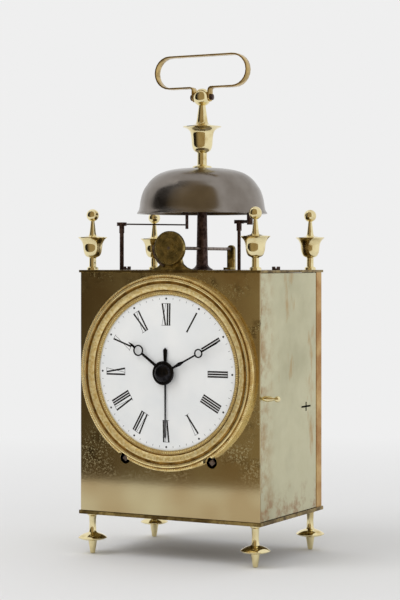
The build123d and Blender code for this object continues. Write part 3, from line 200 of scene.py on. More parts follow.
# Blued steel of the hands, almost black.
blued_steel = metal("blued_hand_steel", "#2c2b2e", "#1b1a1c", 2.0, 0.55, 0.24, 0.4, 0.6, 0.005)

# %% [markdown]
# The bell is cast bell metal, turned and left grey-brown. The lathe left fine rings round it, so its bump is
# drawn as rings: a wave on the distance from the bell's own axis, about one ring in 5 mm.

# %% Bell metal
BELL_Y = -1.4
bell_metal, tree, shader, place = new_material("turned_bell_metal")
from_axis = add_node(tree, "ShaderNodeMapping", {"Location": (0, -BELL_Y * MM, 0)}, {"Vector": place})
rings = add_node(
    tree,
    "ShaderNodeTexWave",
    {"wave_type": "RINGS", "rings_direction": "Z", "Scale": 60.0, "Distortion": 0.3, "Detail": 1.0},
    {"Vector": from_axis.outputs["Vector"]},
).outputs["Fac"]
cloud = spread(tree, grain(tree, place, 16.0), 0.35, 0.7)
tree.links.new(blended(tree, cloud, "#8f8881", "#7b736b"), shader.inputs["Base Color"])
tree.links.new(spread(tree, cloud, 0, 1, 0.20, 0.27), shader.inputs["Roughness"])
tree.links.new(raised(tree, rings, 0.004, 0.5), shader.inputs["Normal"])
shader.inputs["Metallic"].default_value = 1.0

# %% [markdown]
# The front sheet is the clock's mirror. It shows the pale table in its lower part and the dark room above,
# with a bent line between them, because hammered sheet is never quite flat. Old polish and damp left specks
# in the corners. Above the table line the colour also holds dark olive-brown blotches, partly tarnish and
# partly a painted reflection of the dark room. A very wide, shallow bump bends the reflection, and fine
# noise gated by wide noise makes the specks.

# %% Front sheet
front_brass, tree, shader, place = new_material("mirror_polished_sheet_brass")
wide = grain(tree, place, 55.0, detail=2.0)
tint = blended(tree, spread(tree, wide, 0.4, 0.62), "#cbbd94", "#b8a277")
height = add_node(tree, "ShaderNodeSeparateXYZ", (), {"Vector": place}).outputs["Z"]
above_table_line = spread(tree, height, 46 * MM, 66 * MM)
# Above the table line, gated by wide noise: the zone of the light specks and of the painted dark reflection.
speck_and_painted_reflection_zone = both(tree, above_table_line, spread(tree, grain(tree, place, 30.0, detail=3.0), 0.48, 0.6))
flecks = both(tree, speck_and_painted_reflection_zone, spread(tree, grain(tree, place, 1.3, detail=3.0), 0.5, 0.62))
tarnish_and_reflection_blots = spread(tree, grain(tree, place, 10.0, detail=6.0, rough=0.7), 0.50, 0.66)
# Partly tarnish, partly painted reflection: dark olive-brown blotches painted only where the dark room is
# reflected.
tarnish_and_painted_reflection = blended(tree, both(tree, tarnish_and_reflection_blots, speck_and_painted_reflection_zone), tint, "#63522e")
tree.links.new(blended(tree, flecks, tarnish_and_painted_reflection, "#c3b78c"), shader.inputs["Base Color"])
tree.links.new(spread(tree, flecks, 0, 1, 0.08, 0.4), shader.inputs["Roughness"])
warp = raised(tree, grain(tree, place, 130.0, detail=0.0), 0.8, 0.5)
tree.links.new(raised(tree, grain(tree, place, 1.4), 0.003, 1.0, warp), shader.inputs["Normal"])
shader.inputs["Metallic"].default_value = 1.0

# %% [markdown]
# The side doors were rubbed dull and went greenish grey, with rust-coloured stains along the edge that
# fingers open. The stains are noise that fades with the distance from that edge.

# %% Doors
door_brass, tree, shader, place = new_material("greened_sheet_brass")
axes = add_node(tree, "ShaderNodeSeparateXYZ", (), {"Vector": place})
near_edge = spread(tree, axes.outputs["Y"], -44 * MM, -24 * MM, 0.8, 0.0)
near_foot = spread(tree, axes.outputs["Z"], 28 * MM, 48 * MM, 0.8, 0.0)
blot = grain(tree, place, 9.0, detail=6.0, rough=0.65)
stains = both(tree, near_edge, spread(tree, blot, 0.42, 0.62))
low_stains = both(tree, near_foot, spread(tree, blot, 0.5, 0.66))
streaks = add_node(tree, "ShaderNodeMapping", {"Scale": (1, 1, 0.35)}, {"Vector": place}).outputs["Vector"]
patches = spread(tree, grain(tree, streaks, 11.0, detail=5.0, rough=0.6), 0.60, 0.78)
ground = blended(tree, spread(tree, grain(tree, place, 45.0), 0.4, 0.65), "#c9c5a6", "#b7b394")
with_patches = blended(tree, patches, ground, "#b08f5c")
with_edge = blended(tree, stains, with_patches, "#a27a48")
tree.links.new(blended(tree, low_stains, with_edge, "#9a6a45"), shader.inputs["Base Color"])
tree.links.new(spread(tree, blot, 0.3, 0.7, 0.30, 0.46), shader.inputs["Roughness"])
tree.links.new(raised(tree, grain(tree, streaks, 2.2), 0.012, 0.8), shader.inputs["Normal"])
shader.inputs["Metallic"].default_value = 1.0

# %% [markdown]
# The bezel is cast and chased: its band is covered with a small scrolling pattern under fire gilding. At
# this size the scrolls read as a fine crust, so cells of about 1.3 mm stand for them, coarser than life so
# that they still show in the picture.

# %% Chased gilding
chased_gilding, tree, shader, place = new_material("chased_fire_gilding")
cells = add_node(
    tree, "ShaderNodeTexVoronoi", {"feature": "F1", "Scale": 1 / (1.3 * MM)}, {"Vector": place}
).outputs["Distance"]
scrolls = grain(tree, place, 1.6, detail=3.0)
tree.links.new(
    blended(tree, spread(tree, scrolls, 0.35, 0.65), "#fbeab4", "#e0c27a"), shader.inputs["Base Color"]
)
tree.links.new(raised(tree, scrolls, 0.2, 0.5, raised(tree, cells, 0.25, 0.7)), shader.inputs["Normal"])
shader.inputs["Metallic"].default_value = 0.8
shader.inputs["Roughness"].default_value = 0.4
# The plain parts of the bezel and its beads are burnished over the same gilding.
burnished_gilding = metal(
    "burnished_fire_gilding", "#fae6ab", "#dcbc74", 7.0, 0.58, 0.24, 0.36, 0.9, 0.01, 0.85
)

# The grooves between its rings are coloured a darker brown than the rest of the gilding.
groove_gilding = metal("brown_groove_gilding", "#a9823f", "#6f5224", 5.0, 0.5, 0.34, 0.5, 0.9, 0.02)

# %% [markdown]
# Enamel is glass fused on copper: white with a breath of blue, glossy, with a very faint waviness. The
# numerals are black enamel paint fired in, so they are as glossy as the ground.

# %% Enamel
enamel, tree, shader, place = new_material("fired_white_enamel")
milk = spread(tree, grain(tree, place, 22.0, detail=2.0), 0.3, 0.7)
tree.links.new(blended(tree, milk, "#eeeeec", "#e4e6e6"), shader.inputs["Base Color"])
tree.links.new(raised(tree, grain(tree, place, 12.0, detail=0.0), 0.02, 0.4), shader.inputs["Normal"])
shader.inputs["Roughness"].default_value = 0.16
shader.inputs["Coat Weight"].default_value = 0.35
shader.inputs["Coat Roughness"].default_value = 0.06
numeral_black, tree, shader, place = new_material("fired_black_enamel")
tree.links.new(
    blended(tree, grain(tree, place, 0.8), "#1d1b1c", "#2b2828"), shader.inputs["Base Color"]
)
shader.inputs["Roughness"].default_value = 0.25

# %% [markdown]
# ## Every CAD node gets its metal
# A CAD node is never moved or reshaped here. It only takes a material in its slot.

# %% Materials on the CAD nodes
finish_of = {
    plate_brass: ["bottom_plate", "top_plate"],
    front_brass: ["front_sheet"],
    door_brass: ["right_door", "left_door", "back_door"],
    post_brass: ["corner_posts"],
    turned_brass: [
        "feet", "finials", "handle_urn", "right_door_knob", "back_door_knob",
        "alarm_disc", "alarm_bracket", "alarm_cock",
    ],
    strip_brass: ["carrying_handle"],
    chased_gilding: ["bezel"],
    enamel: ["dial"],
    bell_metal: ["bell"],
    rusty_iron: [
        "bell_stand", "handle_screws", "strike_hammer_arbor", "strike_hammer", "alarm_hammer_arbor",
        "alarm_hammer", "top_plate_screws", "movement_screws",
    ],
    filed_steel: [
        "alarm_arbor", "alarm_click_spring", "cannon_pinion", "going_winding_arbor",
        "strike_winding_arbor", "going_click", "strike_click", "anchor",
    ],
    blued_steel: ["hour_hand", "minute_hand", "alarm_hand", "hand_nut"],
}
metal_of = {name: finish for finish, names in finish_of.items() for name in names}


def give(piece, material):
    """Puts one material on the whole piece."""
    piece.data.materials.clear()
    piece.data.materials.append(material)


for name, node in nodes.items():
    give(node, metal_of.get(name, train_brass))
print("train brass on", sorted(set(nodes) - set(metal_of)))

# %% [markdown]
# ## Helpers for modelling
# An operator works on whatever is selected, and the load leaves every node selected, so each piece starts
# by selecting nothing. A finished piece has its place in its mesh, like a CAD node.

# %% Helpers for modelling
FACE_Y = -44.4
DIAL_Z = 112.3
PLATE_TOP = 173.3
KNOB_Z = 98.8
ALARM_Z = 186.4
NUT_BACK_Y = -50.2
SMOOTH_BELOW = radians(38)


def start_fresh():
    """Selects nothing, so that the next operator works on its own piece alone."""
    bpy.ops.object.select_all(action="DESELECT")


def work_on(piece):
    """Makes one piece the only one selected, and the active one."""
    start_fresh()
    piece.select_set(True)
    bpy.context.view_layer.objects.active = piece


def settle(piece):
    """Moves the place of a piece into its mesh and shades its round faces smooth."""
    work_on(piece)
    bpy.ops.object.transform_apply(location=True, rotation=True, scale=True)
    bpy.ops.object.shade_smooth_by_angle(angle=SMOOTH_BELOW)


def hand_over(piece, body, slot, material, *replaced):
    """Dresses a finished piece, lets it ride on its body and hides the CAD nodes it stands for."""
    give(piece, material)
    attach(piece, body)
    if replaced:
        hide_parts(*replaced)
    print(piece.name, len(piece.data.polygons), "faces")


def bow(first, pull, last, steps=6):
    """Points on a smooth curve from first to last, drawn towards pull, without the first point."""
    shares = [k / steps for k in range(1, steps + 1)]
    return [
        tuple((1 - t) ** 2 * a + 2 * t * (1 - t) * b + t**2 * c for a, b, c in zip(first, pull, last))
        for t in shares
    ]


def ball(radius, middle, stem, steps=12):
    """Points of a turned ball from its stem to its top."""
    low = -atan2((radius**2 - stem**2) ** 0.5, stem)
    turns = [low + (pi / 2 - 0.12 - low) * k / steps for k in range(steps + 1)]
    return [(radius * cos(t), middle + radius * sin(t)) for t in turns]


def turn_on_lathe(name, profile, around=64, closed_tube=False):
    """A round piece about the Z axis: a ring is extruded and scaled from one (radius, height) to the next."""
    start_fresh()
    radius, height = profile[0]
    bpy.ops.mesh.primitive_circle_add(
        vertices=around, radius=radius * MM, fill_type="NOTHING", location=(0, 0, height * MM)
    )
    piece = bpy.context.object
    piece.name = name
    bpy.ops.object.mode_set(mode="EDIT")
    bpy.ops.mesh.select_all(action="SELECT")
    stops = profile + profile[:1] if closed_tube else profile
    for (r1, z1), (r2, z2) in zip(stops, stops[1:]):
        bpy.ops.mesh.extrude_region_move(TRANSFORM_OT_translate={"value": (0, 0, (z2 - z1) * MM)})
        bpy.ops.transform.resize(value=(r2 / r1, r2 / r1, 1), center_override=(0, 0, z2 * MM))
    bpy.ops.mesh.select_all(action="SELECT")
    bpy.ops.mesh.remove_doubles(threshold=0.001 * MM)
    bpy.ops.mesh.fill_holes(sides=0)
    bpy.ops.mesh.normals_make_consistent(inside=False)
    bpy.ops.object.mode_set(mode="OBJECT")
    settle(piece)
    return piece


def stand_at(piece, place, turn=(0, 0, 0)):
    """Turns a piece and sets it down, then keeps the result in its mesh."""
    piece.rotation_euler = turn
    piece.location = [v * MM for v in place]
    settle(piece)
    return piece


def copies_of(piece, places):
    """The same piece at every place, joined to one object."""
    made = []
    for place in places:
        work_on(piece)
        bpy.ops.object.duplicate()
        made.append(stand_at(bpy.context.object, place))
    start_fresh()
    for copy in made:
        copy.select_set(True)
    bpy.context.view_layer.objects.active = made[0]
    bpy.ops.object.join()
    joined = bpy.context.object
    name = piece.name
    bpy.data.objects.remove(piece)
    joined.name = name
    return joined


FACING = (radians(90), 0, 0)

# %% [markdown]
# ## Finials and feet
# Each was turned from one bar: a sharp gouge leaves crisp fillets between smooth curves. On a lathe the
# tool follows a profile while the bar spins, and here a ring of points is extruded and scaled along the
# same profile. One of each is made and copied to the four corners.

# %% Finials and feet
CORNERS = [(sx * 55.6, BELL_Y + sy * 38.0) for sx in (-1, 1) for sy in (-1, 1)]
finial_profile = [
    (3.5, 0), (3.5, 0.7), *bow((3.5, 0.7), (3.5, 1.8), (2.3, 1.9), 3), (2.15, 2.4), (2.1, 7.2),
    (2.5, 7.7), *bow((2.5, 7.7), (5.2, 8.0), (5.7, 12.6), 6),
    *bow((5.7, 12.6), (5.9, 16.0), (6.5, 16.9), 4),
    *bow((6.5, 16.9), (7.1, 18.4), (8.8, 19.6), 4), (8.8, 20.0),
    *bow((8.8, 20.0), (5.0, 20.3), (2.6, 21.0), 4),
    *bow((2.6, 21.0), (2.0, 21.6), (1.9, 23.0), 3), (1.15, 29.6), *ball(3.8, 33.4, 1.15),
]
finial = turn_on_lathe("finials_turned", finial_profile, 48)
finials = copies_of(finial, [(x, y, PLATE_TOP) for x, y in CORNERS])
hand_over(finials, "case", "gilt_brass", turned_brass, "finials")
foot_profile = [
    (0.7, 0), (1.2, 0.15), (1.5, 0.5), (2.7, 8.0), (3.1, 8.2),
    *bow((3.1, 8.2), (7.2, 8.3), (8.8, 9.6), 5), (8.8, 9.9),
    *bow((8.8, 9.9), (6.6, 12.0), (3.0, 12.8), 5), *bow((3.0, 12.8), (2.3, 13.0), (2.2, 14.2), 3),
    (2.0, 18.0), (2.2, 22.4), *bow((2.2, 22.4), (2.4, 23.4), (3.25, 23.6), 3), (3.25, 24.6),
]
feet = copies_of(turn_on_lathe("feet_turned", foot_profile, 48), [(x, y, 0) for x, y in CORNERS])
hand_over(feet, "case", "gilt_brass", turned_brass, "feet")

# %% [markdown]
# ## Bell, its stand and the urn
# The bell is a thin dome with a nearly upright skirt. Its profile runs up the inside and down the outside,
# and the two ends meet, which gives the wall its thickness. The urn above is the nut that holds the bell,
# with two flats on its ball where the ends of the handle lie.

# %% Bell and stand
BELL_RIM, BELL_TOP, WALL = 207.8, 235.8, 1.4
bell_outside = [(40.15, BELL_RIM), (39.9, BELL_RIM + 0.8)]
bell_outside += bow(bell_outside[-1], (38.6, BELL_RIM + 2.0), (38.3, BELL_RIM + 6.0), 4)
bell_outside += bow(bell_outside[-1], (37.2, BELL_RIM + 13.5), (34.6, BELL_RIM + 16.8), 7)
bell_outside += bow(bell_outside[-1], (30.4, BELL_TOP - 4.4), (23.6, BELL_TOP - 2.2), 8)
bell_outside += bow(bell_outside[-1], (17.0, BELL_TOP - 0.1), (9.0, BELL_TOP), 6)
bell_inside = [(r - WALL, z - WALL) for r, z in bell_outside[:1:-1]] + [(38.75, BELL_RIM)]
bell_profile = [(1.75, BELL_TOP - WALL)] + bell_inside + bell_outside + [(1.75, BELL_TOP)]
bell = stand_at(turn_on_lathe("bell_cast", bell_profile, 128, closed_tube=True), (0, BELL_Y, 0))
hand_over(bell, "case", "bell_metal", bell_metal, "bell")
stand_profile = [
    (6.5, 0), (6.5, 0.5), *bow((6.5, 0.5), (4.1, 1.4), (3.6, 3.4), 5), (3.3, 20), (2.5, 61.1), (1.7, 61.1),
    (1.7, 68.0),
]
stand = stand_at(turn_on_lathe("bell_stand_filed", stand_profile, 40), (0, BELL_Y, PLATE_TOP))
hand_over(stand, "case", "dark_iron", rusty_iron, "bell_stand")

# %% Handle urn
PIVOT_Z = 279.5
FLAT = 5.0
urn_profile = [
    (6.0, 0.0), (6.0, 0.7), *bow((6.0, 0.7), (5.8, 1.7), (3.4, 1.7), 4), (2.95, 2.2), (2.9, 9.4), (3.4, 9.9),
    *bow((3.4, 9.9), (5.9, 10.3), (6.4, 15.0), 6), *bow((6.4, 15.0), (6.7, 21.0), (7.3, 22.4), 5),
    *bow((7.3, 22.4), (8.4, 24.6), (11.8, 25.3), 5), (11.8, 25.7),
    *bow((11.8, 25.7), (7.0, 26.2), (4.4, 27.2), 4),
    *bow((4.4, 27.2), (3.5, 27.8), (3.4, 29.4), 3), (2.15, 38.2), *ball(5.5, 43.7, 2.15),
]
urn = stand_at(turn_on_lathe("handle_urn_turned", urn_profile, 64), (0, BELL_Y, BELL_TOP))
work_on(urn)
for side in (-1, 1):
    bpy.ops.object.mode_set(mode="EDIT")
    bpy.ops.mesh.select_all(action="DESELECT")
    shape = bmesh.from_edit_mesh(urn.data)
    for face in shape.faces:
        face.select_set(face.calc_center_median().z > (PIVOT_Z - 5.0) * MM)
    bmesh.update_edit_mesh(urn.data)
    bpy.ops.mesh.bisect(
        plane_co=(side * FLAT * MM, 0, 0), plane_no=(side, 0, 0), use_fill=True, clear_outer=True
    )
    bpy.ops.object.mode_set(mode="OBJECT")
bpy.ops.object.shade_smooth_by_angle(angle=SMOOTH_BELOW)
hand_over(urn, "case", "gilt_brass", turned_brass, "handle_urn")

# %% [markdown]
# ## Knobs of the doors
# A slim baluster with a small ball, screwed to the free edge of a door. One profile serves both.

# %% Knobs
knob_profile = [
    (0.9, 0), *bow((0.9, 0), (1.9, 2.6), (1.7, 4.6), 5), *bow((1.7, 4.6), (1.2, 7.4), (0.7, 8.2), 4),
    *ball(1.8, 10.15, 0.75, 8),
]
knob_places = {
    "right_door": ((61.0, FACE_Y + 2.4, KNOB_Z), (0, radians(90), 0)),
    "back_door": ((-48.3, 41.6, KNOB_Z), (radians(-90), 0, 0)),
}
for body, (place, turn) in knob_places.items():
    knob = stand_at(turn_on_lathe(body + "_knob_turned", knob_profile, 32), place, turn)
    hand_over(knob, body, "gilt_brass", turned_brass, body + "_knob")

# %% [markdown]
# ## Dial
# A copper disc, slightly domed and covered with white enamel. The numerals are plain Roman ones, tall and
# thin, with their feet towards the middle, as on most dials of this age. Each stroke is a flat strip. All
# strips are joined, pressed down on the dome with a Shrinkwrap modifier and given a hair of thickness.

# %% Enamel disc
disc_profile = [
    (3.4, 0), (46.6, 0), (46.6, 1.7), (46.2, 2.0), (44, 2.12), (38, 2.32), (30, 2.53), (20, 2.71), (10, 2.79),
    (3.4, 2.8),
]
disc = turn_on_lathe("dial_enamelled", disc_profile, 144, closed_tube=True)

# %% Numerals and minute marks
OUTER, INNER = 41.2, 28.2
THICK, HAIR = 1.0, 0.2
WIDTH = {"I": 1.45, "V": 3.3, "X": 3.5}
HOURS = ["XII", "I", "II", "III", "IIII", "V", "VI", "VII", "VIII", "IX", "X", "XI"]
LEVEL = 3.6
strips = []


def lay_strip(start, end, width):
    """A flat strip between two points of the dial."""
    start_fresh()
    across, up = end[0] - start[0], end[1] - start[1]
    bpy.ops.mesh.primitive_plane_add(
        size=1,
        location=((start[0] + end[0]) / 2 * MM, (start[1] + end[1]) / 2 * MM, LEVEL * MM),
        rotation=(0, 0, atan2(up, across)),
    )
    strip = bpy.context.object
    strip.scale = (hypot(across, up) * MM, width * MM, 1)
    strips.append(strip)


def on_dial(aside, reach, angle):
    """The point at this reach from the centre, and this far clockwise of an hour's line."""
    return (aside * cos(angle) + reach * sin(angle), -aside * sin(angle) + reach * cos(angle))


for hour, letters in enumerate(HOURS):
    angle = hour * pi / 6
    left = -sum(WIDTH[letter] for letter in letters) / 2
    for letter in letters:
        middle, half = left + WIDTH[letter] / 2, WIDTH[letter] / 2 - 0.55
        if letter == "I":
            strokes = [(middle, middle, THICK)]
        elif letter == "V":
            strokes = [(middle - half, middle, THICK), (middle + half, middle, HAIR)]
        else:
            strokes = [(middle - half, middle + half, THICK), (middle + half, middle - half, HAIR)]
        for top, foot, width in strokes:
            lay_strip(on_dial(top, OUTER, angle), on_dial(foot, INNER, angle), width)
        left += WIDTH[letter]
    reach_of_serif = sum(WIDTH[letter] for letter in letters) / 2 - 0.15
    for reach in (OUTER, INNER):
        lay_strip(on_dial(-reach_of_serif, reach, angle), on_dial(reach_of_serif, reach, angle), HAIR)
for minute in range(60):
    if minute % 5:
        angle = minute * pi / 30
        lay_strip(on_dial(0, 43.6, angle), on_dial(0, 44.7, angle), 0.2)
for hour in range(12):
    start_fresh()
    x, y = on_dial(0, 44.1, hour * pi / 6)
    bpy.ops.mesh.primitive_circle_add(
        vertices=16, radius=0.62 * MM, fill_type="NGON", location=(x * MM, y * MM, LEVEL * MM)
    )
    strips.append(bpy.context.object)
start_fresh()
for strip in strips:
    strip.select_set(True)
bpy.context.view_layer.objects.active = strips[0]
bpy.ops.object.join()
numerals = bpy.context.object
numerals.name = "dial_numerals"
bpy.ops.object.transform_apply(location=True, rotation=True, scale=True)
bpy.ops.object.modifier_add(type="SHRINKWRAP")
press = numerals.modifiers[-1]
press.target = disc
press.wrap_method = "PROJECT"
press.use_project_x, press.use_project_y, press.use_project_z = False, False, True
press.use_negative_direction, press.use_positive_direction = True, False
press.offset = 0.07 * MM
bpy.ops.object.modifier_apply(modifier=press.name)
bpy.ops.object.modifier_add(type="SOLIDIFY")
body_of_paint = numerals.modifiers[-1]
body_of_paint.thickness = 0.05 * MM
bpy.ops.object.modifier_apply(modifier=body_of_paint.name)
for piece, material in ((disc, enamel), (numerals, numeral_black)):
    stand_at(piece, (0, FACE_Y, DIAL_Z), FACING)
hand_over(disc, "case", "enamel", enamel, "dial")
hand_over(numerals, "case", "enamel", numeral_black)

# %% [markdown]
# ## Bezel
# Seen in section it is a flat rim with a row of beads, a hollow, a chased band that leans inwards, a plain
# step and an inner row of beads against the dial. The section is turned like the rest. The two winding
# holes bite into its edge, so a Boolean modifier takes two round notches out of it. One bead is modelled
# and spun round as duplicates. How many make a row is given with each row.

# %% Bezel section
WINDING = [(29.5, 60.1), (-29.5, 60.1)]
NOTCH_RADIUS = 3.8
NO_BEADS_WITHIN = 4.0
bezel_profile = [
    (46.9, 2.3), (46.9, 0.05), (58.5, 0.05), (58.5, 3.4), (58.3, 4.0), (57.0, 4.3), (56.2, 5.2),
    *bow((56.2, 5.2), (55.5, 5.6), (54.8, 5.2), 4), (54.5, 4.5),
    *bow((54.5, 4.5), (53.9, 4.1), (53.4, 4.6), 3), (52.9, 4.7),
    *bow((52.9, 4.7), (51.2, 4.9), (49.6, 4.0), 5), (49.3, 3.5), (48.7, 3.3), (48.5, 2.9),
    (46.3, 2.6), (46.2, 2.3),
]
bezel = turn_on_lathe("bezel_cast", bezel_profile, 144, closed_tube=True)
stand_at(bezel, (0, FACE_Y, DIAL_Z), FACING)
for x, z in WINDING:
    start_fresh()
    bpy.ops.mesh.primitive_cylinder_add(
        vertices=48, radius=NOTCH_RADIUS * MM, depth=20 * MM,
        location=(x * MM, FACE_Y * MM, z * MM), rotation=FACING
    )
    drill = bpy.context.object
    work_on(bezel)
    bpy.ops.object.modifier_add(type="BOOLEAN")
    bezel.modifiers[-1].object = drill
    bpy.ops.object.modifier_apply(modifier=bezel.modifiers[-1].name)
    bpy.data.objects.remove(drill)
settle(bezel)
hand_over(bezel, "case", "gilt_brass", burnished_gilding, "bezel")
bezel.data.materials.append(chased_gilding)
bezel.data.materials.append(groove_gilding)
# The two gildings that start here lie on what stands this high over the front sheet.
GILDED_ABOVE = 2.7
CHASED_BAND = (49.4, 53.0)
GROOVES = [(48.2, 49.4), (52.95, 54.4), (56.3, 57.0)]
CHASED_SLOT, GROOVE_SLOT = 1, 2
for face in bezel.data.polygons:
    reach = hypot(face.center.x / MM, face.center.z / MM - DIAL_Z)
    if face.center.y < (FACE_Y - GILDED_ABOVE) * MM:
        if any(low < reach < high for low, high in GROOVES):
            face.material_index = GROOVE_SLOT
        elif CHASED_BAND[0] < reach < CHASED_BAND[1]:
            face.material_index = CHASED_SLOT

# %% Rows of beads
def row_of_beads(name, reach, height, radius, count):
    """A ring of small beads, none of them over a winding hole."""
    start_fresh()
    bpy.ops.mesh.primitive_uv_sphere_add(
        segments=8, ring_count=5, radius=radius * MM, location=(reach * MM, 0, height * MM)
    )
    row = bpy.context.object
    row.name = name
    bpy.ops.object.transform_apply(location=True, rotation=True, scale=True)
    bpy.ops.object.mode_set(mode="EDIT")
    bpy.ops.mesh.select_all(action="SELECT")
    bpy.ops.transform.resize(value=(1.35, 1, 1.2), center_override=(reach * MM, 0, height * MM))
    bpy.ops.mesh.spin(
        steps=count - 1, dupli=True, angle=2 * pi * (count - 1) / count, center=(0, 0, 0), axis=(0, 0, 1)
    )
    bpy.ops.object.mode_set(mode="OBJECT")
    stand_at(row, (0, FACE_Y, DIAL_Z), FACING)
    bpy.ops.object.mode_set(mode="EDIT")
    bpy.ops.mesh.select_all(action="DESELECT")
    shape = bmesh.from_edit_mesh(row.data)
    for point in shape.verts:
        for x, z in WINDING:
            if hypot(point.co.x / MM - x, point.co.z / MM - z) < NO_BEADS_WITHIN:
                point.select_set(True)
    bmesh.update_edit_mesh(row.data)
    bpy.ops.mesh.select_linked()
    bpy.ops.mesh.delete(type="VERT")
    bpy.ops.object.mode_set(mode="OBJECT")
    bpy.ops.object.shade_smooth()
    hand_over(row, "case", "gilt_brass", burnished_gilding)


row_of_beads("bezel_outer_beads", 57.6, 4.25, 0.42, 300)
row_of_beads("bezel_inner_beads", 47.4, 2.85, 0.42, 240)

# %% [markdown]
# ## Collet, alarm disc and small steel
# The hands are held by a dished collet and a domed nut, blackened like them. The alarm disc is a thick
# turned plate with a raised edge and rings cut in its face.

# %% Collet and alarm disc
nut_profile = [
    (7.15, 0), (7.15, 0.5), (6.7, 0.9), (5.5, 0.95), (5.3, 1.2), *bow((5.3, 1.2), (4.9, 2.6), (3.0, 3.2), 6),
    *bow((3.0, 3.2), (1.6, 3.4), (0.8, 3.4), 3),
]
nut = stand_at(turn_on_lathe("hand_nut_domed", nut_profile, 64), (0, NUT_BACK_Y, DIAL_Z), FACING)
hand_over(nut, "minute_hand", "hand_steel", blued_steel, "hand_nut")
alarm_profile = [
    (10.2, 0.1), (10.2, 2.3), (9.9, 2.7), (9.2, 2.8), (8.9, 2.3), (6.3, 2.2), (6.1, 2.6), (5.6, 2.6),
    (5.4, 2.2), (3.2, 2.1), (3.0, 2.6), (1.2, 2.7),
]
alarm = stand_at(turn_on_lathe("alarm_disc_turned", alarm_profile, 64), (0, FACE_Y + 3.4, ALARM_Z), FACING)
old_turned = metal("olive_tarnished_brass", "#b39f66", "#6e5f35", 4.0, 0.5, 0.22, 0.42, 0.7, 0.02)
hand_over(alarm, "alarm_disc", "gilt_brass", old_turned, "alarm_disc")
for name in ("alarm_bracket", "alarm_cock"):
    give(nodes[name], old_turned)

# %% [markdown]
# ## Sheets, strips and bars with their edges broken
# Sawn and filed parts never have razor edges: a file is run along them, and that thin bevel is what catches
# the light. Each of these CAD nodes already has the right shape, so a copy is merged, its flat faces are
# dissolved to one, and a Bevel modifier breaks its edges.

# %% Broken edges
slot_of = {entry["node"]: entry["material_slot"] for entry in frame["record"]["subparts"]}
bodies = frame["record"]["behaviour"]["bodies"]
body_of = {name: body for body, names in bodies.items() for name in names}
broken_edges = {
    "front_sheet": 0.12, "top_plate": 0.2, "bottom_plate": 0.25, "right_door": 0.15, "left_door": 0.15,
    "back_door": 0.15, "carrying_handle": 0.15, "alarm_bracket": 0.3, "alarm_cock": 0.2,
    "alarm_click_spring": 0.12, "strike_hammer_arbor": 0.15, "strike_hammer": 0.12,
    "alarm_hammer_arbor": 0.15, "alarm_hammer": 0.15, "top_plate_screws": 0.15, "handle_screws": 0.15,
    "hour_hand": 0.08, "minute_hand": 0.08, "alarm_hand": 0.08,
}
# Smooth shading would bend the reflections in a flat sheet, so these stay flat.
FLAT_SHEETS = ["front_sheet", "top_plate", "bottom_plate", "right_door", "left_door", "back_door"]
for name, width in broken_edges.items():
    work_on(nodes[name])
    bpy.ops.object.duplicate()
    piece = bpy.context.object
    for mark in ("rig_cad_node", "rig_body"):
        if mark in piece:
            del piece[mark]
    bpy.ops.object.parent_clear(type="CLEAR_KEEP_TRANSFORM")
    piece.name = name + "_filed"
    bpy.ops.object.mode_set(mode="EDIT")
    bpy.ops.mesh.select_all(action="SELECT")
    bpy.ops.mesh.remove_doubles(threshold=0.001 * MM)
    bpy.ops.mesh.dissolve_limited(angle_limit=radians(0.5))
    bpy.ops.object.mode_set(mode="OBJECT")
    bpy.ops.object.modifier_add(type="BEVEL")
    edge = piece.modifiers[-1]
    edge.width, edge.segments, edge.limit_method, edge.angle_limit = width * MM, 2, "ANGLE", radians(50)
    bpy.ops.object.modifier_apply(modifier=edge.name)
    settle(piece)
    if name in FLAT_SHEETS:
        bpy.ops.object.shade_flat()
    hand_over(piece, body_of[name], slot_of[name], nodes[name].data.materials[0], name)

# %% [markdown]
# ## Floor and light
# A pale table that runs into an equally pale backdrop. The floor is white paint near the clock, where it
# takes the shadow, and turns into the colour of the backdrop further out, so no horizon shows.

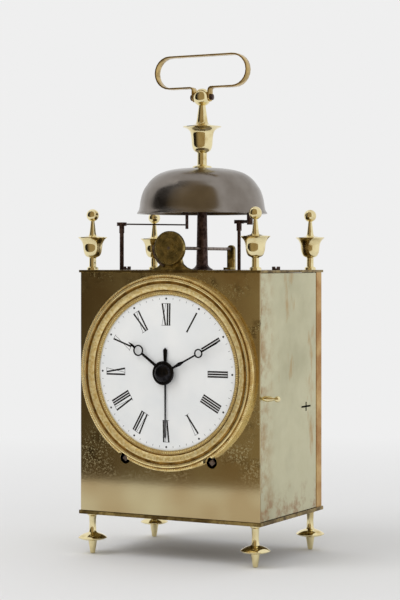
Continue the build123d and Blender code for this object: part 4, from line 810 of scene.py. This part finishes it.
# %% Floor
BACKDROP = "#efefef"
start_fresh()
bpy.ops.mesh.primitive_circle_add(vertices=96, radius=6.0, fill_type="NGON", location=(0, 0, 0))
floor = bpy.context.object
floor.name = "table_top"
table_white, tree, shader, place = new_material("matt_white_table")
shader.inputs["Base Color"].default_value = linear("#e2e2e2")
shader.inputs["Roughness"].default_value = 0.9
distance = add_node(tree, "ShaderNodeVectorMath", {"operation": "LENGTH"}, {"Vector": place}).outputs["Value"]
far = spread(tree, distance, 0.22, 0.75)
glow = add_node(tree, "ShaderNodeEmission", {"Color": linear(BACKDROP), "Strength": 1.0})
mix = add_node(tree, "ShaderNodeMixShader", (), {"Fac": far})
tree.links.new(shader.outputs[0], mix.inputs[1])
tree.links.new(glow.outputs[0], mix.inputs[2])
tree.links.new(mix.outputs[0], tree.nodes["Material Output"].inputs["Surface"])
give(floor, table_white)

# %% [markdown]
# Polished brass looks like brass only if it has something dark to reflect. A studio hangs a black flag in
# front of the subject for that. This one is seen by reflections alone: it hides nothing from the camera and
# throws no shadow. It stands on the table a third of a metre in front of the dial, dark at the left and
# lighter to the right.

# %% Dark flag
start_fresh()
bpy.ops.mesh.primitive_plane_add(size=1, location=(-0.55, -0.37, 0.75), rotation=FACING)
flag = bpy.context.object
flag.name = "dark_flag"
flag.scale = (2.3, 1.5, 1)
bpy.ops.object.transform_apply(location=True, rotation=True, scale=True)
flag_cloth, tree, shader, place = new_material("flag_cloth")
across = add_node(tree, "ShaderNodeSeparateXYZ", (), {"Vector": place}).outputs["X"]
lighter = spread(tree, across, -0.34, -0.05)
shade = blended(tree, lighter, "#221d17", "#9c8a69")
cloth_glow = add_node(tree, "ShaderNodeEmission", {"Strength": 1.0}, {"Color": shade})
tree.links.new(cloth_glow.outputs[0], tree.nodes["Material Output"].inputs["Surface"])
give(flag, flag_cloth)
flag.visible_camera = False
flag.visible_diffuse = False
flag.visible_shadow = False
flag.visible_transmission = False

# %% [markdown]
# The light is soft: the whole backdrop glows, and one large panel high on the left gives the table its
# shadow a direction.

# %% Light
world = bpy.data.worlds.new("backdrop")
bpy.context.scene.world = world
world.use_nodes = True
world.node_tree.nodes["Background"].inputs["Color"].default_value = linear(BACKDROP)
world.node_tree.nodes["Background"].inputs["Strength"].default_value = 1.0
bpy.ops.object.light_add(type="AREA", location=(-0.9, -1.1, 1.7), rotation=(radians(38), 0, radians(-38)))
panel = bpy.context.object
panel.name = "soft_panel"
panel.data.shape = "RECTANGLE"
panel.data.size, panel.data.size_y = 1.2, 1.2
panel.data.energy = 12

# %% [markdown]
# ## Last step
# The dressed clock must be as large as the CAD model. At the end nothing is left selected.

# %% Finish
start_fresh()
